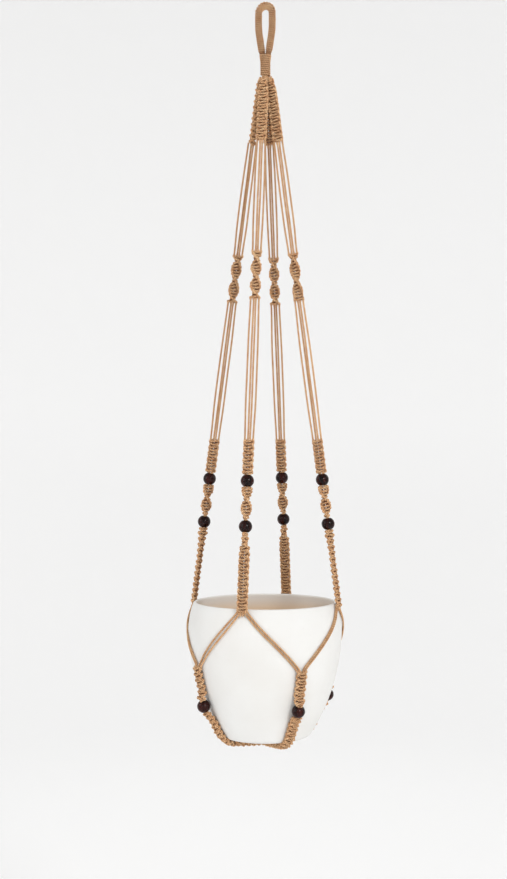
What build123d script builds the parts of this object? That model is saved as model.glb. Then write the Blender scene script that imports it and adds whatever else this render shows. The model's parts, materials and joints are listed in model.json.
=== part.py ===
from build123d import *
import os
from math import asin, atan2, ceil, cos, degrees, pi, radians, sin, sqrt, tan

# A hanging macrame planter: a wrapped loop, four knotted legs with beads, a cradle of
# sennits round the pot, and the pot itself. Millimetres, +Z up. The origin is the inner
# top of the loop's eye, where the hook bears. The legs stand on -Y, +X, +Y and -X.

# ---- cord, beads and clearances ----
cord_d = 3.1
sennit_width = 16.4  # a square-knot sennit laid flat
sennit_thickness = 8.6
bead_d = 19.0
bead_bore_d = 8.0
bead_edge_r = 0.8  # rounding at the mouths of the bore
core_d = 7.2  # the bundle of cords that passes through a bead
bead_gap = 0.3  # between a bead and the knots above and below it
pot_gap = 0.3  # between the pot and everything that carries it
strand_gap = 0.1  # between two cords that lie side by side

# ---- hanging loop and neck ----
eye_width = 9.6
loop_wrap_d = 11.2  # over the wrapping
loop_core_d = 6.0
eye_straight = 29.0  # from the eye's top down to where its arms start to close
eye_length = 64.0  # from the eye's top down to where the wrapping ends
loop_mouth_width = 11.4  # between the arms' centrelines where the wrapping ends
neck_drop = 70.0  # from the eye's top down to the neck wrap
neck_length = 29.4
neck_wrap_d = 15.6
neck_core_d = 9.4
sway_gap = 4.6  # free cord between the neck wrap and the top sennits

# ---- the stretches of a leg, measured along it ----
leg_top_r = 7.5  # the planter's axis to the leg's centreline at the top knots
gathered_thickness = 0.95  # a gathered sennit's thickness there, to leg_top_r
gathered_width = 1.55  # and its width
top_sennit_length = 92.8
upper_cord_length = 166.4
spiral_length = 70.2
middle_cord_length = 204.8
square_sennit_length = 48.7
twist_sennit_length = 45.0
long_sennit_length = 111.2
outer_cord_offset = 6.6  # a leg's outer cords to its centreline
spiral_turn = 540.0  # degrees that the half knots wind round in the spiral
twist_turn = 315.0  # and between the two beads

# ---- pot ----
belly_r = 112.6
rim_inset = 7.4  # the belly's radius less the rim's
base_inset = 48.0  # the belly's radius less the base's
belly_drop = 37.3  # rim down to the belly
pot_height = 197.3
pot_wall = 4.5
pot_floor = 7.0
lip_r = 1.4
base_edge_r = 9.0
rim_to_split = 4.3  # rim down to where the legs part over the pot
lean_room = 0.1  # a leg's slant brings its inner face this much nearer the pot

# ---- cradle ----
net_drop = 84.5  # split down to where neighbouring legs' cords meet
cradle_bead_drop = 137.0  # split down to where the cradle beads touch the pot
pair_step = 1.5  # one cord of a pair leaves and arrives this much above the other
net_sink = 3.0  # how far the net's cords run into the sennits at their ends
net_runs = 5  # straight runs in each of the net's cords, round the pot
chord_room = 0.5  # what a straight run of a sennit cuts off a curved wall, and a little over
net_chord_room = 0.65  # the same for the net's cords
slant_room = 1.4  # a slanting sennit's end stands this much further from its bead
stub_overlap = 2.0  # the bundle in a bead starts this far inside its sennit
hug_share = 0.45  # the wall guides a cradle sennit this share of its way to the bead
front_left_spread = 2.6  # the pair that hangs open between the front and left legs
base_knot_width = 26.0
base_knot_depth = 8.5
base_knot_drop = 4.0  # how far the knot hangs below the cradle's sennits at the foot

# ---- bends ----
bend_share = 0.45  # how much of a route's shorter run a bend may take up at each end
arm_bend_r = 60.0  # where the loop's arms start to close
foot_bend_r = 12.0  # where they turn down into the neck
crown_share = 0.999  # the crown's bends to half a circle, so a short straight is left
loft_step = 30.0  # degrees of turn between two sections of a winding sennit

# ---- names ----
legs = {"front": -90.0, "right": 0.0, "back": 90.0, "left": 180.0}
corners = {"front_right": -46.0, "back_right": 41.5, "back_left": 135.0, "front_left": 227.5}
# The flat of a knotted stretch lies round the pot, or turned a quarter to face the front.
across_turn = {"front": 0.0, "right": 90.0, "back": 0.0, "left": 90.0}
top_turn = {"front": 0.0, "right": 90.0, "back": 0.0, "left": 0.0}

# ---- pot outline: two arcs that meet upright at the belly ----
rim_r = belly_r - rim_inset
base_r = belly_r - base_inset
upper_arc_r = (belly_drop**2 + rim_inset**2) / (2 * rim_inset)
lower_arc_r = ((pot_height - belly_drop) ** 2 + base_inset**2) / (2 * base_inset)

# ---- where the leg ends over the pot ----
half_thickness = sennit_thickness / 2
bead_step = bead_d + 2 * bead_gap
leg_length = (
    top_sennit_length
    + upper_cord_length
    + spiral_length
    + middle_cord_length
    + square_sennit_length
    + bead_step
    + twist_sennit_length
    + bead_step
    + long_sennit_length
)
leg_top_z = -(neck_drop + neck_length + sway_gap)


def arc_radius(drop):
    """The pot's outer radius at a level this far below its rim."""
    arc_r = upper_arc_r if drop < belly_drop else lower_arc_r
    return belly_r - arc_r + sqrt(arc_r**2 - (drop - belly_drop) ** 2)


split_pot_r = max(arc_radius(rim_to_split), arc_radius(0.5 * rim_to_split))
split_r = split_pot_r + pot_gap + half_thickness + lean_room
lean = asin((split_r - leg_top_r) / leg_length)
split_z = leg_top_z - leg_length * cos(lean)
rim_z = split_z + rim_to_split
belly_z = rim_z - belly_drop
base_z = rim_z - pot_height
join_z = split_z - net_drop
base_slope = atan2(pot_height - belly_drop, lower_arc_r - base_inset)  # wall from upright


def off_pot(z, gap):
    """Radius and level of the point this far outside the pot's wall, opposite level z."""
    r = arc_radius(rim_z - z)
    arc_r = upper_arc_r if z > belly_z else lower_arc_r
    return r + gap * (r - belly_r + arc_r) / arc_r, z + gap * (z - belly_z) / arc_r


def leg_vectors(angle):
    """A leg's direction down along it, and the level direction round the pot."""
    a = radians(angle)
    down = Vector(sin(lean) * cos(a), sin(lean) * sin(a), -cos(lean))
    return down, Vector(-sin(a), cos(a), 0)


def leg_plane(angle, along, turn=0.0):
    """The plane square to a leg, this far along it, with X across the knots."""
    down, level = leg_vectors(angle)
    a = radians(angle)
    top = Vector(leg_top_r * cos(a), leg_top_r * sin(a), leg_top_z)
    return Plane(origin=top + down * along, x_dir=level.rotate(Axis((0, 0, 0), down), turn), z_dir=down)


def radial_plane(angle):
    """The upright plane through the planter's axis, with X outward and Y up."""
    a = radians(angle)
    return Plane(origin=(0, 0, 0), x_dir=(cos(a), sin(a), 0), z_dir=(sin(a), -cos(a), 0))


def keep(piece, name):
    """Names a finished piece and writes it to its own file."""
    piece.part.label = name
    export_step(piece.part, f"parts/{name}.step")


def corner_radii(points):
    """The largest easy bend at each inner point of a route."""
    found = []
    for a, b, c in zip(points, points[1:], points[2:]):
        before, after = Vector(*b) - Vector(*a), Vector(*c) - Vector(*b)
        half = radians(before.get_angle(after)) / 2
        found.append(bend_share * min(before.length, after.length) / tan(half))
    return found


os.makedirs("parts", exist_ok=True)

# ================= hanging loop and neck =================

arm_x = (eye_width + loop_wrap_d) / 2
crown_z = loop_wrap_d / 2
mouth_x = loop_mouth_width / 2
root_x = (loop_core_d + strand_gap) / 2

wrap_route = [
    (-mouth_x, -eye_length),
    (-arm_x, -eye_straight),
    (-arm_x, crown_z),
    (arm_x, crown_z),
    (arm_x, -eye_straight),
    (mouth_x, -eye_length),
]
wrap_bends = [arm_bend_r, arm_x * crown_share, arm_x * crown_share, arm_bend_r]
core_sink = 2.0  # the core is drawn this far into the neck, then cut off level
core_route = [(-root_x, -neck_drop - core_sink), *wrap_route, (root_x, -neck_drop - core_sink)]
core_bends = [foot_bend_r, *wrap_bends, foot_bend_r]

with BuildPart() as loop_core:
    with BuildLine(Plane.XZ) as core_path:
        FilletPolyline(*core_route, radius=core_bends)
    with BuildSketch(Plane(origin=core_path.line @ 0, z_dir=core_path.line % 0)):
        Circle(loop_core_d / 2)
    sweep()
    with BuildSketch(Plane.XY.offset(-neck_drop)):
        Rectangle(4 * neck_core_d, 4 * neck_core_d)
    extrude(amount=-neck_length, mode=Mode.SUBTRACT)
keep(loop_core, "loop_core")

with BuildPart() as loop_wrap:
    with BuildLine(Plane.XZ) as wrap_path:
        FilletPolyline(*wrap_route, radius=wrap_bends)
    with BuildSketch(Plane(origin=wrap_path.line @ 0, z_dir=wrap_path.line % 0)):
        Circle(loop_wrap_d / 2)
        Circle(loop_core_d / 2, mode=Mode.SUBTRACT)
    sweep()
keep(loop_wrap, "loop_wrap")

with BuildPart() as neck_core:
    with BuildSketch(Plane.XY.offset(-neck_drop)):
        Circle(neck_core_d / 2)
    extrude(amount=-neck_length)
keep(neck_core, "neck_core")

with BuildPart() as neck_wrap:
    with BuildSketch(Plane.XY.offset(-neck_drop)):
        Circle(neck_wrap_d / 2)
        Circle(neck_core_d / 2, mode=Mode.SUBTRACT)
    extrude(amount=-neck_length)
    wrap_edges = neck_wrap.edges().filter_by(GeomType.CIRCLE)
    fillet(wrap_edges.sort_by(SortBy.RADIUS)[-2:], cord_d / 2)
keep(neck_wrap, "neck_wrap")

# ================= knotted stretches, cords and beads of the legs =================


def knotted_bar(plane, length):
    """A flat square-knot sennit: a bar with round sides."""
    with BuildPart() as bar:
        with BuildSketch(plane):
            SlotOverall(sennit_width, sennit_thickness)
        extrude(amount=length)
    return bar


def twisted_bar(angle, along, length, turn, first_turn):
    """Half knots that wind round the leg: one oval carried down it as it turns."""
    steps = ceil(turn / loft_step)
    with BuildPart() as bar:
        for step in range(steps + 1):
            part_way = step / steps
            with BuildSketch(leg_plane(angle, along + length * part_way, first_turn - turn * part_way)):
                Ellipse(sennit_width / 2, half_thickness)
        loft()
    return bar


def core_stub(plane, length):
    """The bundle of cords that runs on from a sennit through a bead."""
    with BuildPart() as stub:
        with BuildSketch(plane):
            Circle(core_d / 2)
        extrude(amount=length)
    return stub


def bead(plane):
    """A round wooden bead with a bore along the plane's normal."""
    side = Plane(origin=plane.origin, x_dir=plane.x_dir, z_dir=plane.x_dir.cross(plane.z_dir))
    with BuildPart() as ball:
        with BuildSketch(side) as outline:
            Circle(bead_d / 2)
            with Locations((bead_bore_d / 2, 0)):
                Rectangle(bead_d, 2 * bead_d, align=(Align.MAX, Align.CENTER), mode=Mode.SUBTRACT)
            fillet(outline.vertices(), bead_edge_r)
        revolve(axis=Axis(plane.origin, plane.z_dir))
    return ball


def cord_group(angle, along, length, turn):
    """Four cords side by side: two that touch, and one further out on each side."""
    inner = (cord_d + strand_gap) / 2
    with BuildPart() as cords:
        with BuildSketch(leg_plane(angle, along, turn)):
            with Locations((-outer_cord_offset, 0), (-inner, 0), (inner, 0), (outer_cord_offset, 0)):
                Circle(cord_d / 2)
        extrude(amount=length)
    return cords


# At the top the four sennits are drawn together, so their section grows from a small
# one to the full one, which is reached where neighbours stand clear of each other.
top_thickness = gathered_thickness * leg_top_r
top_width = gathered_width * leg_top_r
clear_r = (sennit_width - sennit_thickness) / 2 + (sennit_thickness + pot_gap) / sqrt(2)
gather_length = max((clear_r - leg_top_r) / sin(lean), sennit_thickness)

for leg, angle in legs.items():
    flat = across_turn[leg]
    along = 0.0

    with BuildPart() as top_sennit:
        with BuildSketch(leg_plane(angle, along, top_turn[leg])):
            SlotOverall(top_width, top_thickness)
        with BuildSketch(leg_plane(angle, gather_length, top_turn[leg])):
            SlotOverall(sennit_width, sennit_thickness)
        loft()
        with BuildSketch(leg_plane(angle, gather_length, top_turn[leg])):
            SlotOverall(sennit_width, sennit_thickness)
        extrude(amount=top_sennit_length - gather_length)
    keep(top_sennit, f"top_sennit_{leg}")
    along += top_sennit_length

    upper_cords = cord_group(angle, along, upper_cord_length, flat)
    keep(upper_cords, f"upper_cords_{leg}")
    along += upper_cord_length

    spiral = twisted_bar(angle, along, spiral_length, spiral_turn, flat)
    keep(spiral, f"spiral_{leg}")
    along += spiral_length

    middle_cords = cord_group(angle, along, middle_cord_length, flat)
    keep(middle_cords, f"middle_cords_{leg}")
    along += middle_cord_length

    square_bar = knotted_bar(leg_plane(angle, along, flat), square_sennit_length)
    upper_stub = core_stub(leg_plane(angle, along + square_sennit_length), bead_step)
    with BuildPart() as square_sennit:
        add(square_bar.part)
        add(upper_stub.part)
    keep(square_sennit, f"square_sennit_{leg}")
    along += square_sennit_length

    upper_bead = bead(leg_plane(angle, along + bead_step / 2))
    keep(upper_bead, f"upper_bead_{leg}")
    along += bead_step

    twist_bar = twisted_bar(angle, along, twist_sennit_length, twist_turn, flat)
    lower_stub = core_stub(leg_plane(angle, along + twist_sennit_length), bead_step)
    with BuildPart() as twist_sennit:
        add(twist_bar.part)
        add(lower_stub.part)
    keep(twist_sennit, f"twist_sennit_{leg}")
    along += twist_sennit_length

    lower_bead = bead(leg_plane(angle, along + bead_step / 2))
    keep(lower_bead, f"lower_bead_{leg}")
    along += bead_step

    long_sennit = knotted_bar(leg_plane(angle, along), long_sennit_length)
    keep(long_sennit, f"long_sennit_{leg}")

# ================= net: two cords of each leg go to each side =================

inner_offset = (cord_d + strand_gap) / 2
outer_offset = 3 * inner_offset
net_gap = pot_gap + cord_d / 2 + net_chord_room


def corner_reach(angle, side):
    """How far round the pot the corner beside a leg is, in degrees."""
    turns = [(side * (corner - angle)) % 360 for corner in corners.values()]
    return min(turns)


def net_route(angle, side, upper, spread):
    """Points of one net cord, from its leg down round the pot to the corner beside it."""
    leaves, arrives = (outer_offset, inner_offset) if upper else (inner_offset, outer_offset)
    rise = pair_step if upper else 0.0
    first_z = split_z + net_sink + rise
    last_z = join_z - net_sink - pair_step + rise
    first_turn = degrees(leaves / split_r)
    last_turn = corner_reach(angle, side) - degrees(arrives / off_pot(last_z, net_gap)[0])
    points = []
    for run in range(net_runs + 1):
        t = run / net_runs
        sag = 0.0 if upper else spread * sin(pi * t)
        z = first_z + (last_z - first_z) * t - sag
        r, z = off_pot(z, net_gap)
        a = radians(angle + side * (first_turn + (last_turn - first_turn) * t))
        points.append((r * cos(a), r * sin(a), z))
    return points


upper_bends = corner_radii(net_route(legs["front"], 1, True, 0))
lower_bends = corner_radii(net_route(legs["front"], 1, False, front_left_spread))
print(f"smallest bend in the net's cords: {min(upper_bends + lower_bends):.0f} mm")

for leg, angle in legs.items():
    with BuildPart() as net_cords:
        for side in (-1, 1):
            open_pair = (leg, side) in (("front", -1), ("left", 1))
            spread = front_left_spread if open_pair else 0.0
            for upper in (True, False):
                route = net_route(angle, side, upper, spread)
                with BuildLine() as net_path:
                    FilletPolyline(*route, radius=corner_radii(route))
                with BuildSketch(Plane(origin=net_path.line @ 0, z_dir=net_path.line % 0)):
                    Circle(cord_d / 2)
                sweep(path=net_path.line)
    keep(net_cords, f"net_cords_{leg}")

# ================= cradle under the pot =================

hug_gap = pot_gap + half_thickness + chord_room
bead_off = pot_gap + bead_d / 2
contact_z = split_z - cradle_bead_drop
bead_r, bead_z = off_pot(contact_z, bead_off)
wall_lean = asin((belly_z - contact_z) / lower_arc_r)
wall_down = Vector(-sin(wall_lean), -cos(wall_lean))  # down along the wall, in the radial plane
half_step = bead_step / 2 + slant_room

top_end = (bead_r - wall_down.X * half_step, bead_z - wall_down.Y * half_step)
low_end = (bead_r + wall_down.X * half_step, bead_z + wall_down.Y * half_step)
join_route = [
    off_pot(join_z, hug_gap),
    off_pot(join_z - hug_share * (join_z - contact_z), hug_gap),
    top_end,
]
wall_foot = off_pot(base_z, hug_gap)
floor_z = base_z - hug_gap
corner_point = (wall_foot[0] - (wall_foot[1] - floor_z) / tan(pi / 2 - base_slope), floor_z)
under_route = [
    low_end,
    off_pot(base_z + hug_share * (contact_z - base_z), hug_gap),
    corner_point,
    (base_knot_width / 2, floor_z - base_knot_drop),
]
corner_bend = base_edge_r + hug_gap
under_bends = [corner_radii(under_route)[0], corner_bend]
print(f"bends in the under sennits: {under_bends[0]:.0f} and {under_bends[1]:.0f} mm")

for corner, angle in corners.items():
    upright = radial_plane(angle)
    down = upright.x_dir * wall_down.X + upright.y_dir * wall_down.Y
    centre = upright.x_dir * bead_r + upright.y_dir * bead_z
    bead_plane = Plane(origin=centre, x_dir=upright.z_dir, z_dir=down)

    stub_length = half_step + stub_overlap
    join_stub = core_stub(bead_plane.offset(-stub_length), stub_length)
    under_stub = core_stub(bead_plane, stub_length)

    with BuildPart() as join_sennit:
        with BuildLine(upright) as join_path:
            FilletPolyline(*join_route, radius=corner_radii(join_route))
        start = join_path.line
        with BuildSketch(Plane(origin=start @ 0, x_dir=upright.z_dir, z_dir=start % 0)):
            SlotOverall(sennit_width, sennit_thickness)
        sweep(path=join_path.line)
        add(join_stub.part)
    keep(join_sennit, f"join_sennit_{corner}")

    cradle_bead = bead(bead_plane)
    keep(cradle_bead, f"cradle_bead_{corner}")

    with BuildPart() as under_sennit:
        with BuildLine(upright) as under_path:
            FilletPolyline(*under_route, radius=under_bends)
        start = under_path.line
        with BuildSketch(Plane(origin=start @ 0, x_dir=upright.z_dir, z_dir=start % 0)):
            SlotOverall(sennit_width, sennit_thickness)
        sweep(path=under_path.line)
        add(under_stub.part)
    keep(under_sennit, f"under_sennit_{corner}")

knot_top_z = base_z - pot_gap - base_knot_drop
with BuildPart() as base_knot:
    with BuildSketch(Plane.XY.offset(knot_top_z).rotated((0, 0, 45))):
        RectangleRounded(base_knot_width, base_knot_width, cord_d)
    extrude(amount=-base_knot_depth)
    fillet(base_knot.faces().sort_by(Axis.Z)[0].edges(), cord_d)
keep(base_knot, "base_knot")

# ================= pot =================


def bore_radius(z):
    """The radius inside the pot's wall at a level."""
    arc_r = upper_arc_r if z > belly_z else lower_arc_r
    return belly_r - arc_r + sqrt((arc_r - pot_wall) ** 2 - (z - belly_z) ** 2)


def level_rings(piece):
    """The whole circles among a turned piece's edges."""
    return piece.edges().filter_by(GeomType.CIRCLE).filter_by(lambda edge: edge.is_closed)


floor_level = base_z + pot_floor
upper_mid_z = (belly_z + rim_z) / 2
lower_mid_z = (belly_z + base_z) / 2

with BuildPart() as pot:
    with BuildSketch(Plane.XZ) as pot_outline:
        with BuildLine():
            Line((0, base_z), (base_r, base_z))
            ThreePointArc((base_r, base_z), off_pot(lower_mid_z, 0), (belly_r, belly_z))
            ThreePointArc((belly_r, belly_z), off_pot(upper_mid_z, 0), (rim_r, rim_z))
            Line((rim_r, rim_z), (bore_radius(rim_z), rim_z))
            ThreePointArc(
                (bore_radius(rim_z), rim_z),
                (bore_radius(upper_mid_z), upper_mid_z),
                (bore_radius(belly_z), belly_z),
            )
            ThreePointArc(
                (bore_radius(belly_z), belly_z),
                (bore_radius(lower_mid_z), lower_mid_z),
                (bore_radius(floor_level), floor_level),
            )
            Line((bore_radius(floor_level), floor_level), (0, floor_level))
            Line((0, floor_level), (0, base_z))
        make_face()
    revolve(axis=Axis.Z)
    fillet(level_rings(pot).group_by(Axis.Z)[-1], lip_r)
    fillet(level_rings(pot).group_by(Axis.Z)[0], base_edge_r)
    inside_corner = [ring for ring in level_rings(pot) if abs(ring.center().Z - floor_level) < 0.01]
    fillet(inside_corner, base_edge_r)
keep(pot, "pot")

print(f"lean {degrees(lean):.2f} deg, split r {split_r:.1f} z {split_z:.1f}, base z {base_z:.1f}")
print(f"lowest point {knot_top_z - base_knot_depth:.1f}, highest {loop_wrap_d:.1f}")
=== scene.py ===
"""Dresses the hanging macrame planter: knotted cords, wooden beads and a ceramic pot.

Everything is worked out in millimetres in the planter's own frame, with the loop's eye at
the origin and +Z up, and becomes metres when a mesh is made.
"""

import json
import logging
import math
from collections.abc import Callable, Iterable
from dataclasses import dataclass, field
from enum import Enum

import bpy
import numpy as np
from mathutils import Matrix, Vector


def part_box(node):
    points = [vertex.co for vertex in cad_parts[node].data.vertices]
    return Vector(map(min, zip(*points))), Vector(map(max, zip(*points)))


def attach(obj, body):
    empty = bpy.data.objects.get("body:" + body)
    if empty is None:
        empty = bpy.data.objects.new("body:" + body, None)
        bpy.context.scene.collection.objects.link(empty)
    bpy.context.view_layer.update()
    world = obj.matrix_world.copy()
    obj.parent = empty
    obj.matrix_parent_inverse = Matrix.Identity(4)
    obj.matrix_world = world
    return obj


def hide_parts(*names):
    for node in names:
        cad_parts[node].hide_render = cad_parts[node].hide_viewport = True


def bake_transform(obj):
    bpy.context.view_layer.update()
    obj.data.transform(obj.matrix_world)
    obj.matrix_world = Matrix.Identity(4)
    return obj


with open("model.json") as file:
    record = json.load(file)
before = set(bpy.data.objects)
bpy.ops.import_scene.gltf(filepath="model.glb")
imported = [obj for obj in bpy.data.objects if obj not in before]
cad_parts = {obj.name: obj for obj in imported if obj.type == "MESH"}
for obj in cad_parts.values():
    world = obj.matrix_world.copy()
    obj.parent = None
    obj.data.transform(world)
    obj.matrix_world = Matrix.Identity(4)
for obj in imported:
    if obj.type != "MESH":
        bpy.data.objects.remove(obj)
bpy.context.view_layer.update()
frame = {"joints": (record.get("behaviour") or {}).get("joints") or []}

MM = 0.001
ANY_TURN = 6.28  # a cord's lay starts anywhere up to this angle, in radians
WRAP_TONE = 0.3  # how far the lightness of a loop, neck or foot cord strays
STRAIGHT_TONE = 0.4  # the same for the taut cords and the net's
KNOT_TONE = 0.35  # and for the cords of a sennit
BORE_OFFSET = 1.75  # a cord's middle to each middle plane of a bead's bore
LOG = logging.getLogger("planter")
JOINTS = {joint["name"]: joint for joint in frame["joints"]}

Array = np.ndarray
Material = bpy.types.Material


class Weave(Enum):
    """How one half knot follows the one before it."""

    SQUARE = "square"
    SPIRAL = "spiral"


class Slot(Enum):
    """The record's material slots."""

    CORD = "cord"
    BEAD = "bead_wood"
    POT = "pot_ceramic"


# ------------------------------------------------------------------ small numeric tools


def smooth_step(x: Array | float) -> Array:
    """Returns 0 below 0, 1 above 1 and an easy S between them.

    Args:
        x: Where on the step each value lies.

    Returns:
        3x^2 - 2x^3 with x held between 0 and 1.
    """
    held = np.clip(x, 0.0, 1.0)
    return held * held * (3.0 - 2.0 * held)


def unit(vectors: Array) -> Array:
    """Returns the vectors, each divided by its own length."""
    return vectors / np.linalg.norm(vectors, axis=-1, keepdims=True)


def smooth_line(points: Array, steps: int) -> Array:
    """Carries one smooth line through a list of points.

    Each span is a Catmull-Rom cubic: it passes through its two points, and its slope at
    each is half the difference of that point's neighbours.

    Args:
        points: The points to pass through, (n, 3).
        steps: How many samples each span gets.

    Returns:
        The line's samples, ((n - 1) * steps + 1, 3).
    """
    padded = np.vstack([2 * points[0] - points[1], points, 2 * points[-1] - points[-2]])
    a, b, c, d = padded[:-3, None], padded[1:-2, None], padded[2:-1, None], padded[3:, None]
    t = np.linspace(0.0, 1.0, steps, endpoint=False)[None, :, None]
    spans = 0.5 * (
        2 * b + (c - a) * t + (2 * a - 5 * b + 4 * c - d) * t**2 + (3 * b - a - 3 * c + d) * t**3
    )
    return np.vstack([spans.reshape(-1, 3), points[-1:]])


def nurbs_line(points: Array, resolution: int = 24) -> Array:
    """Reads the smooth line of an open NURBS curve of order 3.

    Args:
        points: The curve's control points in millimetres, (n, 3).
        resolution: Samples for each control point.

    Returns:
        The curve's points, in millimetres.
    """
    curve = bpy.data.curves.new("route", "CURVE")
    curve.dimensions = "3D"
    curve.resolution_u = resolution
    spline = curve.splines.new("NURBS")
    spline.points.add(len(points) - 1)
    spline.points.foreach_set("co", np.c_[points, np.ones(len(points))].ravel())
    spline.order_u = 3
    spline.use_endpoint_u = True
    holder = bpy.data.objects.new("route", curve)
    line = bpy.data.meshes.new_from_object(holder)
    found = np.zeros(len(line.vertices) * 3)
    line.vertices.foreach_get("co", found)
    bpy.data.objects.remove(holder)
    bpy.data.curves.remove(curve)
    bpy.data.meshes.remove(line)
    return found.reshape(-1, 3)


def resample(line: Array, spacing: float) -> Array:
    """Returns the line with its samples evenly spaced, about this far apart."""
    along = distances(line)
    count = max(int(round(along[-1] / spacing)), 2)
    even = np.linspace(0.0, along[-1], count + 1)
    return np.stack([np.interp(even, along, line[:, axis]) for axis in range(3)], axis=1)


def distances(line: Array) -> Array:
    """Returns how far along the line each of its points is."""
    steps = np.linalg.norm(np.diff(line, axis=0), axis=1)
    return np.concatenate([[0.0], np.cumsum(steps)])


def tangents(line: Array) -> Array:
    """Returns the line's unit direction at each of its points."""
    return unit(np.gradient(line, axis=0))


def carried_frames(directions: Array) -> tuple[Array, Array]:
    """Carries two side directions along a line without any twist of their own.

    From one point to the next, the frame turns by the least rotation that takes one
    direction to the next: I + K + K^2 / (1 + c), with K the cross matrix of their cross
    product and c their dot product. The rotations are multiplied up by doubling.

    Args:
        directions: The line's unit directions, (n, 3).

    Returns:
        The two side directions, each (n, 3), square to the line and to each other.
    """
    before, after = directions[:-1], directions[1:]
    k = np.cross(before, after)
    c = np.sum(before * after, axis=1)
    cross = np.zeros((len(k), 3, 3))
    cross[:, 0, 1], cross[:, 0, 2], cross[:, 1, 2] = -k[:, 2], k[:, 1], -k[:, 0]
    cross[:, 1, 0], cross[:, 2, 0], cross[:, 2, 1] = k[:, 2], -k[:, 1], k[:, 0]
    turn = np.eye(3) + cross + cross @ cross / np.maximum(1.0 + c, 1e-6)[:, None, None]
    turns = np.concatenate([np.eye(3)[None], turn])
    shift = 1
    while shift < len(turns):
        turns[shift:] = turns[shift:] @ turns[:-shift]
        shift *= 2
    first = directions[0]
    helper = np.eye(3)[np.argmin(np.abs(first))]
    side = unit(np.cross(first, helper))
    other = np.cross(first, side)
    return turns @ side, turns @ other


# ------------------------------------------------------------------ meshes


@dataclass
class Surface:
    """A mesh as it is gathered: vertices, faces and what is painted on them.

    Attributes:
        vertices: Each shape's points in millimetres.
        quads: Its four-sided faces, counted from the whole mesh's first vertex.
        triangles: Its three-sided faces.
        pattern: The pattern's place at each corner of each quad, in millimetres.
        marks: Values painted on the vertices, by name.
        sides: Quads in each ring of a swept mesh, or 0 for any other.
        count: How many vertices there are so far.
    """

    vertices: list[Array] = field(default_factory=list)
    quads: list[Array] = field(default_factory=list)
    triangles: list[Array] = field(default_factory=list)
    pattern: list[Array] = field(default_factory=list)
    marks: dict[str, list[Array]] = field(default_factory=dict)
    sides: int = 0
    count: int = 0

    def add(
        self, vertices: Array, quads: Array, triangles: Array, pattern: Array, marks: dict[str, Array]
    ) -> None:
        """Adds one closed shape.

        Args:
            vertices: Its points in millimetres, (n, 3).
            quads: Its four-sided faces, (q, 4), counted from its own first vertex.
            triangles: Its three-sided faces, (t, 3).
            pattern: The pattern's place at each corner of each quad, (q, 4, 2).
            marks: Values for each of its vertices, by name, each (n,).
        """
        self.vertices.append(vertices)
        self.quads.append(quads + self.count)
        self.triangles.append(triangles + self.count)
        self.pattern.append(pattern)
        for name, values in marks.items():
            self.marks.setdefault(name, []).append(values)
        self.count += len(vertices)

    def build(self, name: str, material: Material) -> bpy.types.Object:
        """Makes the Blender object, in metres, smooth-shaded, with its maps and marks.

        Args:
            name: The object's name.
            material: What it is made of.

        Returns:
            The new object, at the origin.
        """
        vertices = np.vstack(self.vertices) * MM
        quads = np.vstack(self.quads).astype(np.int32)
        triangles = np.vstack(self.triangles).astype(np.int32)
        mesh = bpy.data.meshes.new(name)
        corners = np.concatenate([quads.ravel(), triangles.ravel()])
        totals = np.concatenate([np.full(len(quads), 4), np.full(len(triangles), 3)]).astype(np.int32)
        starts = np.concatenate([[0], np.cumsum(totals)[:-1]]).astype(np.int32)
        mesh.vertices.add(len(vertices))
        mesh.vertices.foreach_set("co", vertices.astype(np.float32).ravel())
        mesh.loops.add(len(corners))
        mesh.loops.foreach_set("vertex_index", corners)
        mesh.polygons.add(len(totals))
        mesh.polygons.foreach_set("loop_start", starts)
        mesh.polygons.foreach_set("use_smooth", np.ones(len(totals), dtype=bool))
        mesh.update(calc_edges=True)
        pattern = np.concatenate(
            [np.vstack(self.pattern).reshape(-1, 2), np.zeros((len(triangles) * 3, 2))]
        )
        self._map(mesh, "Lay", pattern)
        if self.sides:
            self._map(mesh, "OFBake", self._tiles(len(quads), len(triangles)))
        for label, values in self.marks.items():
            attribute = mesh.attributes.new(label, "FLOAT", "POINT")
            attribute.data.foreach_set("value", np.concatenate(values).astype(np.float32))
        mesh.materials.append(material)
        made = bpy.data.objects.new(name, mesh)
        bpy.context.scene.collection.objects.link(made)
        return made

    def _map(self, mesh: bpy.types.Mesh, name: str, places: Array) -> None:
        """Gives the mesh a UV map with a place for each face corner."""
        layer = mesh.uv_layers.new(name=name)
        layer.data.foreach_set("uv", places.astype(np.float32).ravel())

    def _tiles(self, quads: int, triangles: int) -> Array:
        """Lays a swept mesh's faces out on a map with no two on top of each other.

        All rings of all the tubes stand side by side in one long strip, which is cut into
        equal rows and stacked up the map. The triangles of the tubes' ends get a last row.

        Args:
            quads: How many four-sided faces there are, ring by ring.
            triangles: How many three-sided faces follow.

        Returns:
            Each face corner's place, between 0 and 1.
        """
        rings = quads // self.sides
        columns = max(int(math.sqrt(rings * 9.5)), 1)
        rows = math.ceil(rings / columns) + 1
        ring, side = np.divmod(np.arange(quads), self.sides)
        row, column = np.divmod(ring, columns)
        u = (column[:, None] + np.array([0.0, 0.0, 1.0, 1.0])) / columns
        across = (side[:, None] + np.array([0.0, 1.0, 1.0, 0.0])) / self.sides
        v = (row[:, None] + 0.04 + 0.92 * across) / rows
        width = 1.0 / triangles
        start = np.arange(triangles)[:, None] * width
        end_u = start + width * np.array([0.1, 0.9, 0.1])
        end_v = np.broadcast_to((rows - 1 + np.array([0.1, 0.1, 0.9])) / rows, end_u.shape)
        faces = np.stack([u, v], axis=-1).reshape(-1, 2)
        ends = np.stack([end_u, end_v], axis=-1).reshape(-1, 2)
        return np.vstack([faces, ends])


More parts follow.
